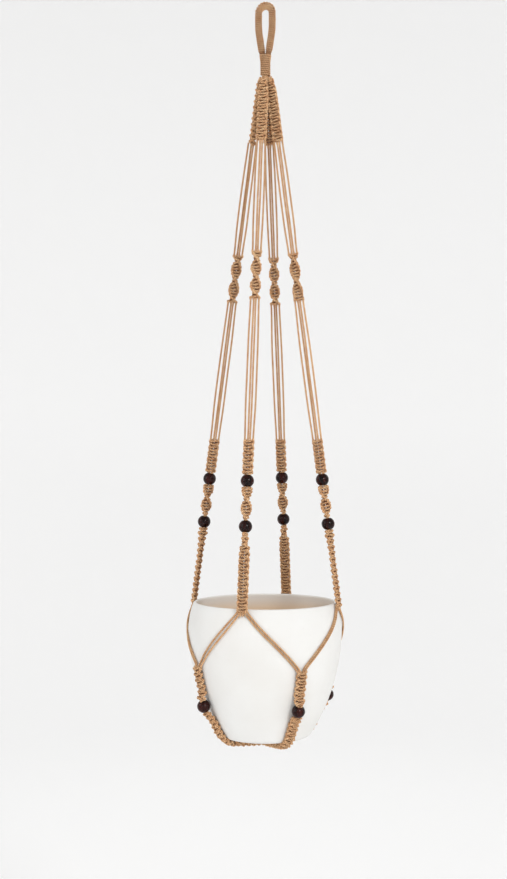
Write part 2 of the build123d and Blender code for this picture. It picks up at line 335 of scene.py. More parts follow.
@dataclass
class Thickness:
    """The thick piece that a cord is part of, at each of the cord's rings.

    It tells how far in from the piece's surface each point lies, which sets how much painted shade it gets.

    Attributes:
        centre: The piece's own centre beside each ring, (n, 3).
        wide: The unit direction of its width there.
        deep: The unit direction of its depth.
        half_width: Half of its width.
        half_depth: Half of its depth.
        share: How much of the painted shade each ring gets.
        dark: Where on the way out from its centre the painted shade is full.
        bright: Where the painted shade is gone.
    """

    centre: Array
    wide: Array
    deep: Array
    half_width: float
    half_depth: float
    share: Array | float = 1.0
    dark: float = 0.40
    bright: float = 0.95

    def crevice_shade(self, points: Array) -> Array:
        """Returns the painted shade, from 0 at the piece's surface to 1 deep inside it.

        With u and v the point's place across and through the piece, as shares of its half
        sizes, the piece's surface is at u^2 + v^2 = 1.

        Args:
            points: The rings' corners, (n, sides, 3).

        Returns:
            One value for each corner, (n, sides).
        """
        away = points - self.centre[:, None]
        u = np.einsum("nsk,nk->ns", away, self.wide) / self.half_width
        v = np.einsum("nsk,nk->ns", away, self.deep) / self.half_depth
        out = smooth_step((np.sqrt(u**2 + v**2) - self.dark) / (self.bright - self.dark))
        return (1.0 - out) * np.reshape(self.share, (-1, 1))


@dataclass(frozen=True)
class CordStock:
    """The cord that everything is knotted from: three plies laid together.

    Attributes:
        diameter: Over the plies' crests.
        lay: The length in which a ply winds round once.
        sides: Corners of the swept section, four to a ply.
        ply_offset: A ply's centre to the cord's, in cord radii.
    """

    diameter: float = 3.1
    lay: float = 9.6
    sides: int = 12
    ply_offset: float = 0.48

    def section(self) -> tuple[Array, Array]:
        """Works out the section's outline.

        It is the outline of three round plies, each of radius 1 - o with its centre at o
        in cord radii: at an angle a from the nearest ply, o cos a + sqrt(r^2 - o^2 sin^2 a).

        Returns:
            The radius at each corner in millimetres, and how deep between the plies it lies, which sets the
            painted shade there.
        """
        angle = np.arange(self.sides) * 2 * np.pi / self.sides
        nearest = (angle + np.pi / 3) % (2 * np.pi / 3) - np.pi / 3
        ply = 1.0 - self.ply_offset
        radius = self.ply_offset * np.cos(nearest) + np.sqrt(
            ply**2 - (self.ply_offset * np.sin(nearest)) ** 2
        )
        # Painted shade between the plies: 1 at the bottom between two plies, 0 on a ply's crest.
        groove_shade = (1.0 - radius) / (1.0 - radius.min())
        return radius * self.diameter / 2, groove_shade

    def sweep(
        self, surface: Surface, line: Array, tone: float, turn: float, inside: Thickness | None = None
    ) -> None:
        """Sweeps the cord along a line and adds it to a surface.

        The section turns by one whole turn for each lay of the line's length, so that the
        mesh's own rows follow the plies.

        Args:
            surface: The surface that the cord joins.
            line: The cord's centreline in millimetres, (n, 3).
            tone: The cord's own lightness, about 0.
            turn: Where round the cord its first ply starts, in radians.
            inside: The thick piece that the cord is part of, if any, which sets its painted shade deep
                inside.
        """
        radius, groove_shade = self.section()
        rings, sides = len(line), self.sides
        direction = tangents(line)
        side, other = carried_frames(direction)
        along = distances(line)
        angle = (
            np.arange(sides)[None] * 2 * np.pi / sides + turn + along[:, None] * 2 * np.pi / self.lay
        )
        out = side[:, None] * np.cos(angle)[..., None] + other[:, None] * np.sin(angle)[..., None]
        corners = line[:, None] + out * radius[None, :, None]
        points = corners.reshape(-1, 3)
        # Painted shade deep inside a knot or a wrap, darkest towards its middle.
        crevice_shade = inside.crevice_shade(corners) if inside else np.zeros((rings, sides))
        ends = np.vstack([line[0] - 0.3 * direction[0], line[-1] + 0.3 * direction[-1]])
        ring = np.arange(rings - 1)[:, None] * sides
        corner = np.arange(sides)[None]
        following = (corner + 1) % sides
        quads = np.stack(
            [ring + corner, ring + following, ring + sides + following, ring + sides + corner], axis=-1
        ).reshape(-1, 4)
        first, last = rings * sides, rings * sides + 1
        lid = np.stack([np.full(sides, first), following[0], corner[0]], axis=1)
        base = (rings - 1) * sides
        floor = np.stack([np.full(sides, last), base + corner[0], base + following[0]], axis=1)
        girth = np.pi * self.diameter / sides
        low, high = along[:-1, None], along[1:, None]
        u = np.stack([corner, corner + 1, corner + 1, corner], axis=-1) * girth
        v = np.stack([low, low, high, high], axis=-1) + 0 * corner[..., None]
        pattern = np.stack([np.broadcast_to(u, v.shape), v], axis=-1).reshape(-1, 4, 2)
        surface.sides = sides
        # These marks carry painted shade, between the plies and deep inside a knot or a wrap, and the cord's
        # own random tone.
        marks = {
            "groove_shade": np.concatenate([np.tile(groove_shade, rings), [0.5, 0.5]]),
            "crevice_shade": np.concatenate([crevice_shade.ravel(), crevice_shade[0, :1], crevice_shade[-1, :1]]),
            "tone": np.full(rings * sides + 2, tone),
        }
        surface.add(np.vstack([points, ends]), quads, np.vstack([lid, floor]), pattern, marks)


def lathe(profile: Array, segments: int, closed: bool) -> Surface:
    """Turns a profile round the Z axis.

    A point at radius r and height z goes to (r cos a, r sin a, z) for every angle a. An
    open profile starts and ends on the axis, where each ring is drawn into one pole.

    Args:
        profile: The (radius, height) of each profile point in millimetres, (n, 2), in the
            order that has the outside on its right.
        segments: How many steps the full turn has.
        closed: Whether the profile joins up with its own start, as on a ring.

    Returns:
        The surface, with the arc length and the girth in its pattern map.
    """
    rings = profile if closed else profile[1:-1]
    angle = np.arange(segments) * 2 * np.pi / segments
    r, z = rings[:, :1], rings[:, 1:]
    points = np.stack([r * np.cos(angle), r * np.sin(angle), z + 0 * angle], axis=-1).reshape(-1, 3)
    count = len(rings)
    row = np.arange(count if closed else count - 1)[:, None]
    next_row = (row + 1) % count
    corner = np.arange(segments)[None]
    following = (corner + 1) % segments
    quads = np.stack(
        [row * segments + corner, row * segments + following, next_row * segments + following,
         next_row * segments + corner],
        axis=-1,
    ).reshape(-1, 4)
    triangles = np.zeros((0, 3), dtype=int)
    if not closed:
        start, end = len(points), len(points) + 1
        points = np.vstack([points, [0, 0, profile[0, 1]], [0, 0, profile[-1, 1]]])
        base = (count - 1) * segments
        triangles = np.vstack([
            np.stack([np.full(segments, start), following[0], corner[0]], axis=1),
            np.stack([np.full(segments, end), base + corner[0], base + following[0]], axis=1),
        ])
    girth = angle[1] * float(profile[:, 0].max())
    run = distances(np.c_[profile, np.zeros(len(profile))])
    low = np.resize(run, len(row))[:, None]
    u = np.stack([corner, corner + 1, corner + 1, corner], axis=-1) * girth
    v = np.stack([low, low, low + 1.0, low + 1.0], axis=-1) + 0 * corner[..., None]
    pattern = np.stack([np.broadcast_to(u, v.shape), v], axis=-1).reshape(-1, 4, 2)
    surface = Surface()
    surface.add(points, quads, triangles, pattern, {})
    return surface


def easy_corner(start: Array, corner: Array, end: Array, steps: int) -> Array:
    """Rounds a corner with the curve (1-t)^2 start + 2t(1-t) corner + t^2 end."""
    t = np.linspace(0.0, 1.0, steps)[:, None]
    return (1 - t) ** 2 * start + 2 * t * (1 - t) * corner + t**2 * end


# ------------------------------------------------------------------ knots


@dataclass
class Spine:
    """The centreline of a knotted stretch, with the direction across its knots.

    Attributes:
        line: Points down the centreline in millimetres, (n, 3).
        across: The unit direction across the flat of the knots before any turn.
        turn: The turn about the centreline, in degrees, at each distance along it.
    """

    line: Array
    across: Array
    turn: Callable[[Array], Array]

    def frames(self, s: Array) -> tuple[Array, Array, Array]:
        """Finds the centre and the two turned directions at distances down the spine.

        Args:
            s: The distances in millimetres; beyond the ends, the spine runs on straight.

        Returns:
            The centres, the directions of the flat, and the directions of its normal.
        """
        along = distances(self.line)
        direction = tangents(self.line)
        held = np.clip(s, 0.0, along[-1])
        centre = np.stack([np.interp(held, along, self.line[:, axis]) for axis in range(3)], axis=1)
        heading = unit(np.stack([np.interp(held, along, direction[:, axis]) for axis in range(3)], axis=1))
        centre = centre + heading * (s - held)[:, None]
        flat = self.across - heading * (heading @ self.across)[:, None]
        flat = unit(flat)
        normal = np.cross(heading, flat)
        angle = np.radians(self.turn(s))[:, None]
        u_way = flat * np.cos(angle) + normal * np.sin(angle)
        v_way = normal * np.cos(angle) - flat * np.sin(angle)
        return centre, u_way, v_way

    def place(self, points: Array) -> Array:
        """Puts points of the flat, straight knot onto the spine.

        A point (u, v, s) goes to the centreline at s, plus u across it and v along the
        normal of the flat, both turned about the centreline.

        Args:
            points: The (u, v, s) of each point in millimetres, (n, 3).

        Returns:
            Their places in the planter's frame, (n, 3).
        """
        centre, u_way, v_way = self.frames(points[:, 2])
        return centre + points[:, :1] * u_way + points[:, 1:2] * v_way


@dataclass(frozen=True)
class KnotStyle:
    """The proportions of a half knot of two working cords round two core cords.

    Attributes:
        depth: The core's middle to the middle of a cord that crosses it.
        half_width: The core's middle to a working cord's usual outermost bend.
        core: A core cord's middle to the core's middle.
        radius: A cord's radius.
        pitch: The length down the sennit that one half knot takes.
        steps: Samples between two of a working cord's set points.
    """

    depth: float = 2.75
    half_width: float = 6.2
    core: float = 1.9
    radius: float = 1.75
    pitch: float = 4.3
    steps: int = 3

    def over(self, weave: Weave) -> Array:
        """Returns the set points of the cord that passes in front, from left to right.

        Each is (share of the half width, share of the depth in front, pitches down). The
        cord comes down at its own side, crosses the core in front, drops through the loop
        of the other cord at the far side, and goes round behind that loop to the outside.

        Args:
            weave: In a spiral the cord comes from in front at its own side, and in a
                square sennit from behind.

        Returns:
            The points, (9, 3).
        """
        first, second = (0.35, 0.15) if weave is Weave.SPIRAL else (-0.50, -0.12)
        return np.array([
            [-1.02, first, 0.00],
            [-1.05, second, 0.28],
            [-0.84, 0.40, 0.50],
            [-0.36, 1.00, 0.58],
            [0.20, 1.03, 0.52],
            [0.58, 0.64, 0.36],
            [0.72, -0.45, 0.26],
            [0.90, -1.05, 0.46],
            [1.00, -0.90, 0.72],
        ])


@dataclass(frozen=True)
class CordEnds:
    """Where the four cords of a knotted stretch come from or go to.

    Attributes:
        worker: The (u, v, s) of the points of the working cord at the left.
        core: The (u, v, s) of the end of the core cord at the right.
    """

    worker: tuple[tuple[float, float, float], ...]
    core: tuple[float, float, float]


def into_bead(reach: float) -> CordEnds:
    """Returns how four cords draw together and run through a bead to its middle.

    Args:
        reach: The bead's centre to the nearest knot.
    """
    b = BORE_OFFSET
    return CordEnds(((-3.6, 1.0, 0.6), (-b, b, 3.0), (-b, b, reach)), (b, b, reach))


def from_bead(reach: float) -> CordEnds:
    """Returns how four cords come out of a bead's middle and spread.

    Args:
        reach: The bead's centre to the nearest knot.
    """
    b = BORE_OFFSET
    return CordEnds(((-b, b, -reach), (-b, b, -3.0), (-3.6, 1.0, -0.6)), (b, b, -reach))


@dataclass
class Sennit:
    """A knotted stretch of four cords: square knots, or half knots that wind round.

    Attributes:
        name: The piece's name, which is its CAD node's.
        spine: Where it runs.
        length: The knotted length in millimetres.
        weave: Square or spiral.
        head: Where its cords come from.
        tail: Where its cords go to.
        squeeze: The share of the full width at each distance down the sennit.
        flatten: The share of the full thickness there.
        style: The half knot's proportions.
        seed: Sets the small unevenness of its knots.
        unevenness: How far a set point strays, in millimetres.
        core_hold: How far inside its first and last knots a core cord lies true.
    """

    name: str
    spine: Spine
    length: float
    weave: Weave
    head: CordEnds
    tail: CordEnds
    squeeze: Callable[[Array], Array] = np.ones_like
    flatten: Callable[[Array], Array] = np.ones_like
    style: KnotStyle = KnotStyle()
    seed: int = 0
    unevenness: float = 0.16
    core_hold: float = 4.0

    def paths(self) -> list[Array]:
        """Works out the paths of the two working cords and the two core cords.

        The half knot's set points are repeated down the sennit. In a square sennit every
        other half knot is mirrored from left to right, so one cord always passes in front.
        In a spiral every other one is mirrored from front to back as well, so the cords
        change places. One smooth line is then carried through all of a cord's points.

        Returns:
            Four paths as (u, v, s).
        """
        style = self.style
        count = max(int(round(self.length / style.pitch)), 1)
        pitch = self.length / count
        knot = np.arange(count)
        flip = np.where(knot % 2 == 0, 1.0, -1.0)[:, None]
        back = flip if self.weave is Weave.SPIRAL else np.ones_like(flip)
        random = np.random.default_rng(self.seed)
        found = []
        for side in (1.0, -1.0):
            points = np.repeat(style.over(self.weave)[None], count, axis=0)
            points[:, :, 0] *= flip * side
            points[:, :, 1] *= back * side * style.depth
            down = (points[:, :, 2] + knot[:, None]) * pitch
            points[:, :, 0] *= style.half_width * self.squeeze(down)
            points[:, :, 1] *= self.flatten(down)
            points[:, :, 2] = down
            points += random.normal(0.0, self.unevenness, points.shape)
            head = np.array(self.head.worker) * [side, side, 1.0]
            tail = np.array(self.tail.worker) * [-side * flip[-1, 0], side * back[-1, 0], 1.0]
            tail[:, 2] += self.length
            found.append(smooth_line(np.vstack([head, points.reshape(-1, 3), tail]), style.steps))
        for side in (-1.0, 1.0):
            start = np.array(self.head.core) * [side, side, 1.0]
            end = np.array(self.tail.core) * [side, side, 1.0] + [0.0, 0.0, self.length]
            first = [side * style.core, 0.0, self.core_hold]
            last = [side * style.core, 0.0, self.length - self.core_hold]
            found.append(resample(smooth_line(np.array([start, first, last, end]), 24), 1.3))
        return found

    def build(self, stock: CordStock, material: Material) -> bpy.types.Object:
        """Sweeps the cord along the sennit's four paths.

        Args:
            stock: The cord.
            material: What it is made of.

        Returns:
            The piece.
        """
        surface = Surface()
        style = self.style
        random = np.random.default_rng(self.seed + 1000)
        for path in self.paths():
            centre, wide, deep = self.spine.frames(path[:, 2])
            line = centre + path[:, :1] * wide + path[:, 1:2] * deep
            # The knot's thickness sets the painted shade deep inside it, which fades out towards the sennit's
            # ends.
            ends = np.stack([path[:, 2], self.length - path[:, 2]]) / self.core_hold
            inside = Thickness(
                centre, wide, deep, style.half_width + style.radius, style.depth + style.radius,
                smooth_step(ends[0]) * smooth_step(ends[1]),
            )
            tone = random.normal(0.0, KNOT_TONE)
            stock.sweep(surface, line, tone, random.uniform(0, 2 * np.pi), inside)
        return surface.build(self.name, material)


# ------------------------------------------------------------------ node groups and finishes


class Graph:
    """A short way to lay out a node tree."""

    def __init__(self, tree: bpy.types.NodeTree) -> None:
        """Keeps the tree that nodes are added to."""
        self.tree = tree

    def add(self, kind: str, settings: dict | None = None, **inputs: object) -> bpy.types.Node:
        """Adds a node.

        Args:
            kind: The node's type, without "ShaderNode" in front.
            settings: Its own properties.
            inputs: Values or links for its sockets, by socket name with _ for a space.

        Returns:
            The node.
        """
        node = self.tree.nodes.new("ShaderNode" + kind)
        for name, value in (settings or {}).items():
            setattr(node, name, value)
        for name, value in inputs.items():
            self.feed(node, name.replace("_", " "), value)
        return node

    def feed(self, node: bpy.types.Node, name: str | int, value: object) -> None:
        """Links a socket to an output, or sets its value.

        Args:
            node: The node.
            name: The socket's name or number.
            value: An output to link from, or a plain value.
        """
        socket = node.inputs[name]
        if isinstance(value, bpy.types.NodeSocket):
            self.tree.links.new(value, socket)
        else:
            socket.default_value = value

    def math(self, operation: str, a: object, b: object = 0.0, clamp: bool = False) -> bpy.types.NodeSocket:
        """Adds a Math node and returns its result."""
        node = self.add("Math", {"operation": operation, "use_clamp": clamp})
        self.feed(node, 0, a)
        self.feed(node, 1, b)
        return node.outputs[0]

    def ramp(self, value: object, stops: Iterable[tuple[float, tuple[float, ...]]]) -> bpy.types.NodeSocket:
        """Adds a colour ramp.

        Args:
            value: Where on the ramp to read.
            stops: Each stop's place and colour.

        Returns:
            The colour socket.
        """
        node = self.add("ValToRGB")
        self.feed(node, "Fac", value)
        elements = node.color_ramp.elements
        stops = list(stops)
        for place, colour in stops[2:]:
            elements.new(place)
        for element, (place, colour) in zip(sorted(elements, key=lambda e: e.position), sorted(stops)):
            element.position = place
            element.color = (*colour, 1.0)
        return node.outputs["Color"]

    def mix(self, factor: object, a: object, b: object, blend: str = "MIX") -> bpy.types.NodeSocket:
        """Adds a colour Mix node.

        Args:
            factor: The share of the second colour.
            a: The first colour.
            b: The second colour.
            blend: How they are mixed.

        Returns:
            The colour socket.
        """
        node = self.add("Mix", {"data_type": "RGBA", "blend_type": blend})
        self.feed(node, 0, factor)
        self.feed(node, 6, a)
        self.feed(node, 7, b)
        return node.outputs[2]


def colour(red: float, green: float, blue: float) -> tuple[float, float, float, float]:
    """Returns a linear colour with full alpha from display values between 0 and 255."""
    shown = np.array([red, green, blue]) / 255.0
    linear = np.where(shown <= 0.04045, shown / 12.92, ((shown + 0.055) / 1.055) ** 2.4)
    return (float(linear[0]), float(linear[1]), float(linear[2]), 1.0)


def group(name: str, inputs: dict[str, tuple[str, object]], outputs: dict[str, str]) -> tuple:
    """Starts a shader node group with named inputs and outputs.

    Args:
        name: The group's name.
        inputs: For each input, its socket type and default value.
        outputs: For each output, its socket type.

    Returns:
        The group, its graph, its input node and its output node.
    """
    tree = bpy.data.node_groups.new(name, "ShaderNodeTree")
    for label, (kind, default) in inputs.items():
        socket = tree.interface.new_socket(label, in_out="INPUT", socket_type=kind)
        if default is not None:
            socket.default_value = default
    for label, kind in outputs.items():
        tree.interface.new_socket(label, in_out="OUTPUT", socket_type=kind)
    entry = tree.nodes.new("NodeGroupInput")
    leave = tree.nodes.new("NodeGroupOutput")
    return tree, Graph(tree), entry, leave


def mottle_group() -> bpy.types.NodeTree:
    """Builds the group that gives soft, uneven patches at two sizes.

    Returns:
        A group whose Mask runs from 0 to 1 over patches of the asked size.
    """
    tree, graph, entry, leave = group(
        "mottle",
        {"Scale": ("NodeSocketFloat", 20.0), "Detail": ("NodeSocketFloat", 3.0),
         "Contrast": ("NodeSocketFloat", 1.0)},
        {"Mask": "NodeSocketFloat"},
    )
    place = graph.add("TexCoord").outputs["Object"]
    noise = graph.add("TexNoise", Vector=place, Scale=entry.outputs["Scale"], Detail=entry.outputs["Detail"])
    middle = graph.math("SUBTRACT", noise.outputs["Fac"], 0.5)
    spread = graph.math("MULTIPLY", middle, entry.outputs["Contrast"])
    graph.feed(leave, "Mask", graph.math("ADD", spread, 0.5, clamp=True))
    return tree


def fibre_group() -> bpy.types.NodeTree:
    """Builds the group of fine fibres that run along a cord at a slant.

    Returns:
        A group with a Streak mask and a Height for bump, both over the cord's own map,
        which is in millimetres round and along the cord.
    """
    tree, graph, entry, leave = group(
        "cord_fibre",
        {"Across": ("NodeSocketFloat", 3.5), "Along": ("NodeSocketFloat", 0.45),
         "Slant": ("NodeSocketFloat", 0.5)},
        {"Streak": "NodeSocketFloat", "Height": "NodeSocketFloat"},
    )
    lay = graph.add("UVMap", {"uv_map": "Lay"}).outputs["UV"]
    parts = graph.add("SeparateXYZ", Vector=lay)
    slanted = graph.math("ADD", parts.outputs["X"],
                         graph.math("MULTIPLY", parts.outputs["Y"], entry.outputs["Slant"]))
    across = graph.math("MULTIPLY", slanted, entry.outputs["Across"])
    along = graph.math("MULTIPLY", parts.outputs["Y"], entry.outputs["Along"])
    place = graph.add("CombineXYZ", X=across, Y=along)
    fine = graph.add("TexNoise", Vector=place.outputs["Vector"], Scale=1.0, Detail=3.0, Roughness=0.6)
    coarse = graph.add("TexNoise", Vector=place.outputs["Vector"], Scale=0.35, Detail=1.0)
    both = graph.math("ADD", graph.math("MULTIPLY", fine.outputs["Fac"], 0.65),
                      graph.math("MULTIPLY", coarse.outputs["Fac"], 0.35))
    sharp = graph.math("MULTIPLY", graph.math("SUBTRACT", both, 0.5), 2.6)
    graph.feed(leave, "Streak", graph.math("ADD", sharp, 0.5, clamp=True))
    graph.feed(leave, "Height", both)
    return tree


@dataclass(frozen=True)
class Groups:
    """The node groups that the finishes share.

    Attributes:
        mottle: Soft, uneven patches.
        fibre: Fine fibres along a cord.
    """

    mottle: bpy.types.NodeTree
    fibre: bpy.types.NodeTree


def start_material(name: str) -> tuple[Material, Graph, bpy.types.Node]:
    """Starts a material with an empty node tree and its Principled shader.

    Args:
        name: The material's name.

    Returns:
        The material, its graph and its shader.
    """
    material = bpy.data.materials.new(name)
    material.use_nodes = True
    material.node_tree.nodes.clear()
    graph = Graph(material.node_tree)
    shader = graph.add("BsdfPrincipled")
    output = graph.add("OutputMaterial")
    graph.feed(output, "Surface", shader.outputs["BSDF"])
    return material, graph, shader


def use_group(graph: Graph, tree: bpy.types.NodeTree, **inputs: object) -> bpy.types.Node:
    """Places a node group in a material with its own values.

    Args:
        graph: The material's graph.
        tree: The group.
        inputs: Values or links for the group's inputs.

    Returns:
        The group's node.
    """
    node = graph.add("Group")
    node.node_tree = tree
    for name, value in inputs.items():
        graph.feed(node, name, value)
    return node


@dataclass(frozen=True)
class CordFinish:
    """Golden tan twisted cord with fine fibres, with painted shade between its plies and deep inside knots
    and wraps.

    Attributes:
        name: The material's name.
        light: The crests' colour.
        middle: The usual colour.
        deep: The painted shade's colour down between the plies.
        roughness: The fibres' roughness.
    """

    name: str = "twisted_cord"
    light: tuple[float, float, float] = (255, 234, 194)
    middle: tuple[float, float, float] = (255, 192, 132)
    deep: tuple[float, float, float] = (84, 42, 22)
    roughness: float = 0.84

    def make(self, groups: Groups) -> Material:
        """Builds the material.

        Args:
            groups: The shared node groups.

        Returns:
            The finished material.
        """
        material, graph, shader = start_material(self.name)
        fibre = use_group(graph, groups.fibre, Across=4.5, Along=0.5, Slant=0.45)
        patches = use_group(graph, groups.mottle, Scale=150.0, Detail=3.0, Contrast=2.2)
        groove_shade = graph.add("Attribute", {"attribute_name": "groove_shade"}).outputs["Fac"]
        crevice_shade = graph.add("Attribute", {"attribute_name": "crevice_shade"}).outputs["Fac"]
        tone = graph.add("Attribute", {"attribute_name": "tone"}).outputs["Fac"]
        body = graph.mix(fibre.outputs["Streak"], colour(*self.middle), colour(*self.light))
        patchy = graph.mix(patches.outputs["Mask"], colour(216, 178, 152), colour(255, 255, 255))
        body = graph.mix(0.7, body, patchy, "MULTIPLY")
        # Painted shade: darker down between the plies, and darker again deep inside a knot or a wrap.
        depth = graph.math("MULTIPLY", graph.math("POWER", groove_shade, 1.15), 0.95)
        between = graph.mix(depth, body, colour(*self.deep))
        shade = graph.mix(graph.math("MULTIPLY", crevice_shade, 0.88), (1.0, 1.0, 1.0, 1.0), colour(126, 78, 54))
        shaded = graph.mix(1.0, between, shade, "MULTIPLY")
        lift = graph.math("ADD", 1.0, graph.math("MULTIPLY", tone, 0.13))
        final = graph.add("HueSaturation", Value=lift, Color=shaded)
        graph.feed(shader, "Base Color", final.outputs["Color"])
        rough = graph.math("ADD", graph.math("MULTIPLY", fibre.outputs["Streak"], 0.1), self.roughness - 0.05)
        graph.feed(shader, "Roughness", rough)
        shader.inputs["Specular IOR Level"].default_value = 0.25
        shader.inputs["Sheen Weight"].default_value = 0.08
        shader.inputs["Sheen Roughness"].default_value = 0.45
        shader.inputs["Sheen Tint"].default_value = colour(255, 226, 190)
        bump = graph.add("Bump", Strength=0.8, Distance=0.00035, Height=fibre.outputs["Height"])
        graph.feed(shader, "Normal", bump.outputs["Normal"])
        return material


@dataclass(frozen=True)
class BeadFinish:
    """Very dark brown turned wood under a clear gloss.

    Attributes:
        name: The material's name.
        dark: The wood between the grain's warmer streaks.
        warm: Those streaks.
        roughness: The wood's own roughness, under the gloss.
    """

    name: str = "dark_bead_wood"
    dark: tuple[float, float, float] = (12, 3, 2)
    warm: tuple[float, float, float] = (66, 18, 9)
    roughness: float = 0.18

    def make(self, groups: Groups) -> Material:
        """Builds the material.

        Args:
            groups: The shared node groups.

        Returns:
            The finished material.
        """
        material, graph, shader = start_material(self.name)
        place = graph.add("TexCoord").outputs["Object"]
        stretch = graph.add("Mapping", Vector=place, Scale=(1.0, 1.0, 0.22))
        along = stretch.outputs["Vector"]
        grain = graph.add("TexNoise", Vector=along, Scale=420.0, Detail=5.0, Roughness=0.7)
        bands = graph.add("TexNoise", Vector=along, Scale=130.0, Detail=2.0)
        patches = use_group(graph, groups.mottle, Scale=40.0, Detail=1.0, Contrast=2.5)
        mixed = graph.math("ADD", graph.math("MULTIPLY", grain.outputs["Fac"], 0.5),
                           graph.math("MULTIPLY", bands.outputs["Fac"], 0.5))
        tint = graph.ramp(mixed, [(0.42, colour(*self.dark)[:3]), (0.62, colour(*self.warm)[:3])])
        shaded = graph.mix(graph.math("MULTIPLY", patches.outputs["Mask"], 0.5), tint, colour(*self.dark))
        graph.feed(shader, "Base Color", shaded)
        rougher = graph.math("MULTIPLY", mixed, 0.16)
        graph.feed(shader, "Roughness", graph.math("ADD", rougher, self.roughness))
        shader.inputs["Specular IOR Level"].default_value = 0.05
        shader.inputs["Coat Weight"].default_value = 0.3
        shader.inputs["Coat Roughness"].default_value = 0.04
        bump = graph.add("Bump", Strength=0.25, Distance=0.0002, Height=grain.outputs["Fac"])
        graph.feed(shader, "Normal", bump.outputs["Normal"])
        return material


@dataclass(frozen=True)
class PotFinish:
    """Matte off-white stoneware with a faint throwing texture and fine pores, painted warmer and darker down
    inside for the light bounced there.

    Attributes:
        name: The material's name.
        body: The usual colour.
        shade: Its slightly darker patches.
        speck: The pores' colour.
        painted_inner_bounce: The painted colour of warm bounce light and shade down inside the pot, warmer
            and darker than the body.
        roughness: The least roughness.
    """

    name: str = "matte_stoneware"
    body: tuple[float, float, float] = (236, 236, 234)
    shade: tuple[float, float, float] = (228, 226, 222)
    speck: tuple[float, float, float] = (186, 176, 162)
    painted_inner_bounce: tuple[float, float, float] = (230, 206, 176)
    roughness: float = 0.62

    def make(self, groups: Groups) -> Material:
        """Builds the material.

        Args:
            groups: The shared node groups.

        Returns:
            The finished material.
        """
        material, graph, shader = start_material(self.name)
        place = graph.add("TexCoord").outputs["Object"]
        patches = use_group(graph, groups.mottle, Scale=11.0, Detail=3.0, Contrast=1.8)
        body = graph.mix(patches.outputs["Mask"], colour(*self.body), colour(*self.shade))
        pores = graph.add("TexVoronoi", Vector=place, Scale=520.0)
        near = graph.math("LESS_THAN", pores.outputs["Distance"], 0.13)
        sparse = graph.add("TexNoise", Vector=place, Scale=90.0, Detail=1.0)
        chosen = graph.math("GREATER_THAN", sparse.outputs["Fac"], 0.58)
        specks = graph.math("MULTIPLY", graph.math("MULTIPLY", near, chosen), 0.6)
        # Painted warm bounce light and shade: warmer and darker further down inside the pot.
        deep = graph.add("Attribute", {"attribute_name": "inside"}).outputs["Fac"]
        body = graph.mix(deep, body, colour(*self.painted_inner_bounce))
        graph.feed(shader, "Base Color", graph.mix(specks, body, colour(*self.speck)))
        graph.feed(shader, "Roughness",
                   graph.math("ADD", graph.math("MULTIPLY", patches.outputs["Mask"], 0.12), self.roughness))
        shader.inputs["Specular IOR Level"].default_value = 0.35
        rings = graph.add("Mapping", Vector=place, Scale=(1.0, 1.0, 14.0))
        thrown = graph.add("TexNoise", Vector=rings.outputs["Vector"], Scale=9.0, Detail=2.0)
        grit = graph.add("TexNoise", Vector=place, Scale=700.0, Detail=3.0)
        height = graph.math("ADD", graph.math("MULTIPLY", thrown.outputs["Fac"], 0.6),
                            graph.math("MULTIPLY", grit.outputs["Fac"], 0.18))
        bump = graph.add("Bump", Strength=0.4, Distance=0.0006, Height=height)
        graph.feed(shader, "Normal", bump.outputs["Normal"])
        return material


# ------------------------------------------------------------------ the planter's frame


def box_mm(node: str) -> tuple[Array, Array]:
    """Returns a CAD node's lowest and highest corners in millimetres."""
    low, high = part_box(node)
    return np.array(low) / MM, np.array(high) / MM


def spin_of(bead: str) -> tuple[Array, Array]:
    """Returns a bead's centre in millimetres and the direction down through its bore."""
    joint = JOINTS[f"{bead}_spin"]
    return np.array(joint["pos_m"]) / MM, unit(np.array(joint["axis"], dtype=float))


@dataclass(frozen=True)
class PotShape:
    """The pot's outline, which the cradle and the net follow too.

    Attributes:
        rim_inset: The belly's radius less the rim's.
        foot_inset: The belly's radius less the foot's.
        belly_drop: The rim down to the belly.
    """

    rim_inset: float = 7.4
    foot_inset: float = 48.0
    belly_drop: float = 37.3

    @property
    def rim(self) -> float:
        """Returns the rim's level."""
        return float(box_mm("pot")[1][2])

    @property
    def foot(self) -> float:
        """Returns the level of the pot's underside."""
        return float(box_mm("pot")[0][2])

    @property
    def belly(self) -> float:
        """Returns the pot's largest radius."""
        return float(box_mm("pot")[1][0])

    def arc(self, level: Array | float) -> Array:
        """Returns the radius of the arc that the wall follows at a level.

        A wall that falls back by i over a height h from an upright tangent is an arc of
        radius (h^2 + i^2) / 2i.

        Args:
            level: The level in millimetres.

        Returns:
            The upper arc's radius above the belly, and the lower one's below it.
        """
        upper = (self.belly_drop**2 + self.rim_inset**2) / (2 * self.rim_inset)
        drop = self.rim - self.foot - self.belly_drop
        lower = (drop**2 + self.foot_inset**2) / (2 * self.foot_inset)
        return np.where(np.asarray(level) > self.rim - self.belly_drop, upper, lower)

    def wall(self, level: Array | float, gap: float = 0.0) -> tuple[Array, Array]:
        """Returns the radius and level of the point off the wall opposite a level.

        Args:
            level: Where on the outer wall, in millimetres.
            gap: How far outside the wall, or inside it when negative.

        Returns:
            The radius and the level of that point.
        """
        level = np.asarray(level, dtype=float)
        arc = self.arc(level)
        centre_r = self.belly - arc
        below = level - (self.rim - self.belly_drop)
        reach = np.sqrt(arc**2 - below**2)
        return centre_r + reach * (arc + gap) / arc, level + below * gap / arc


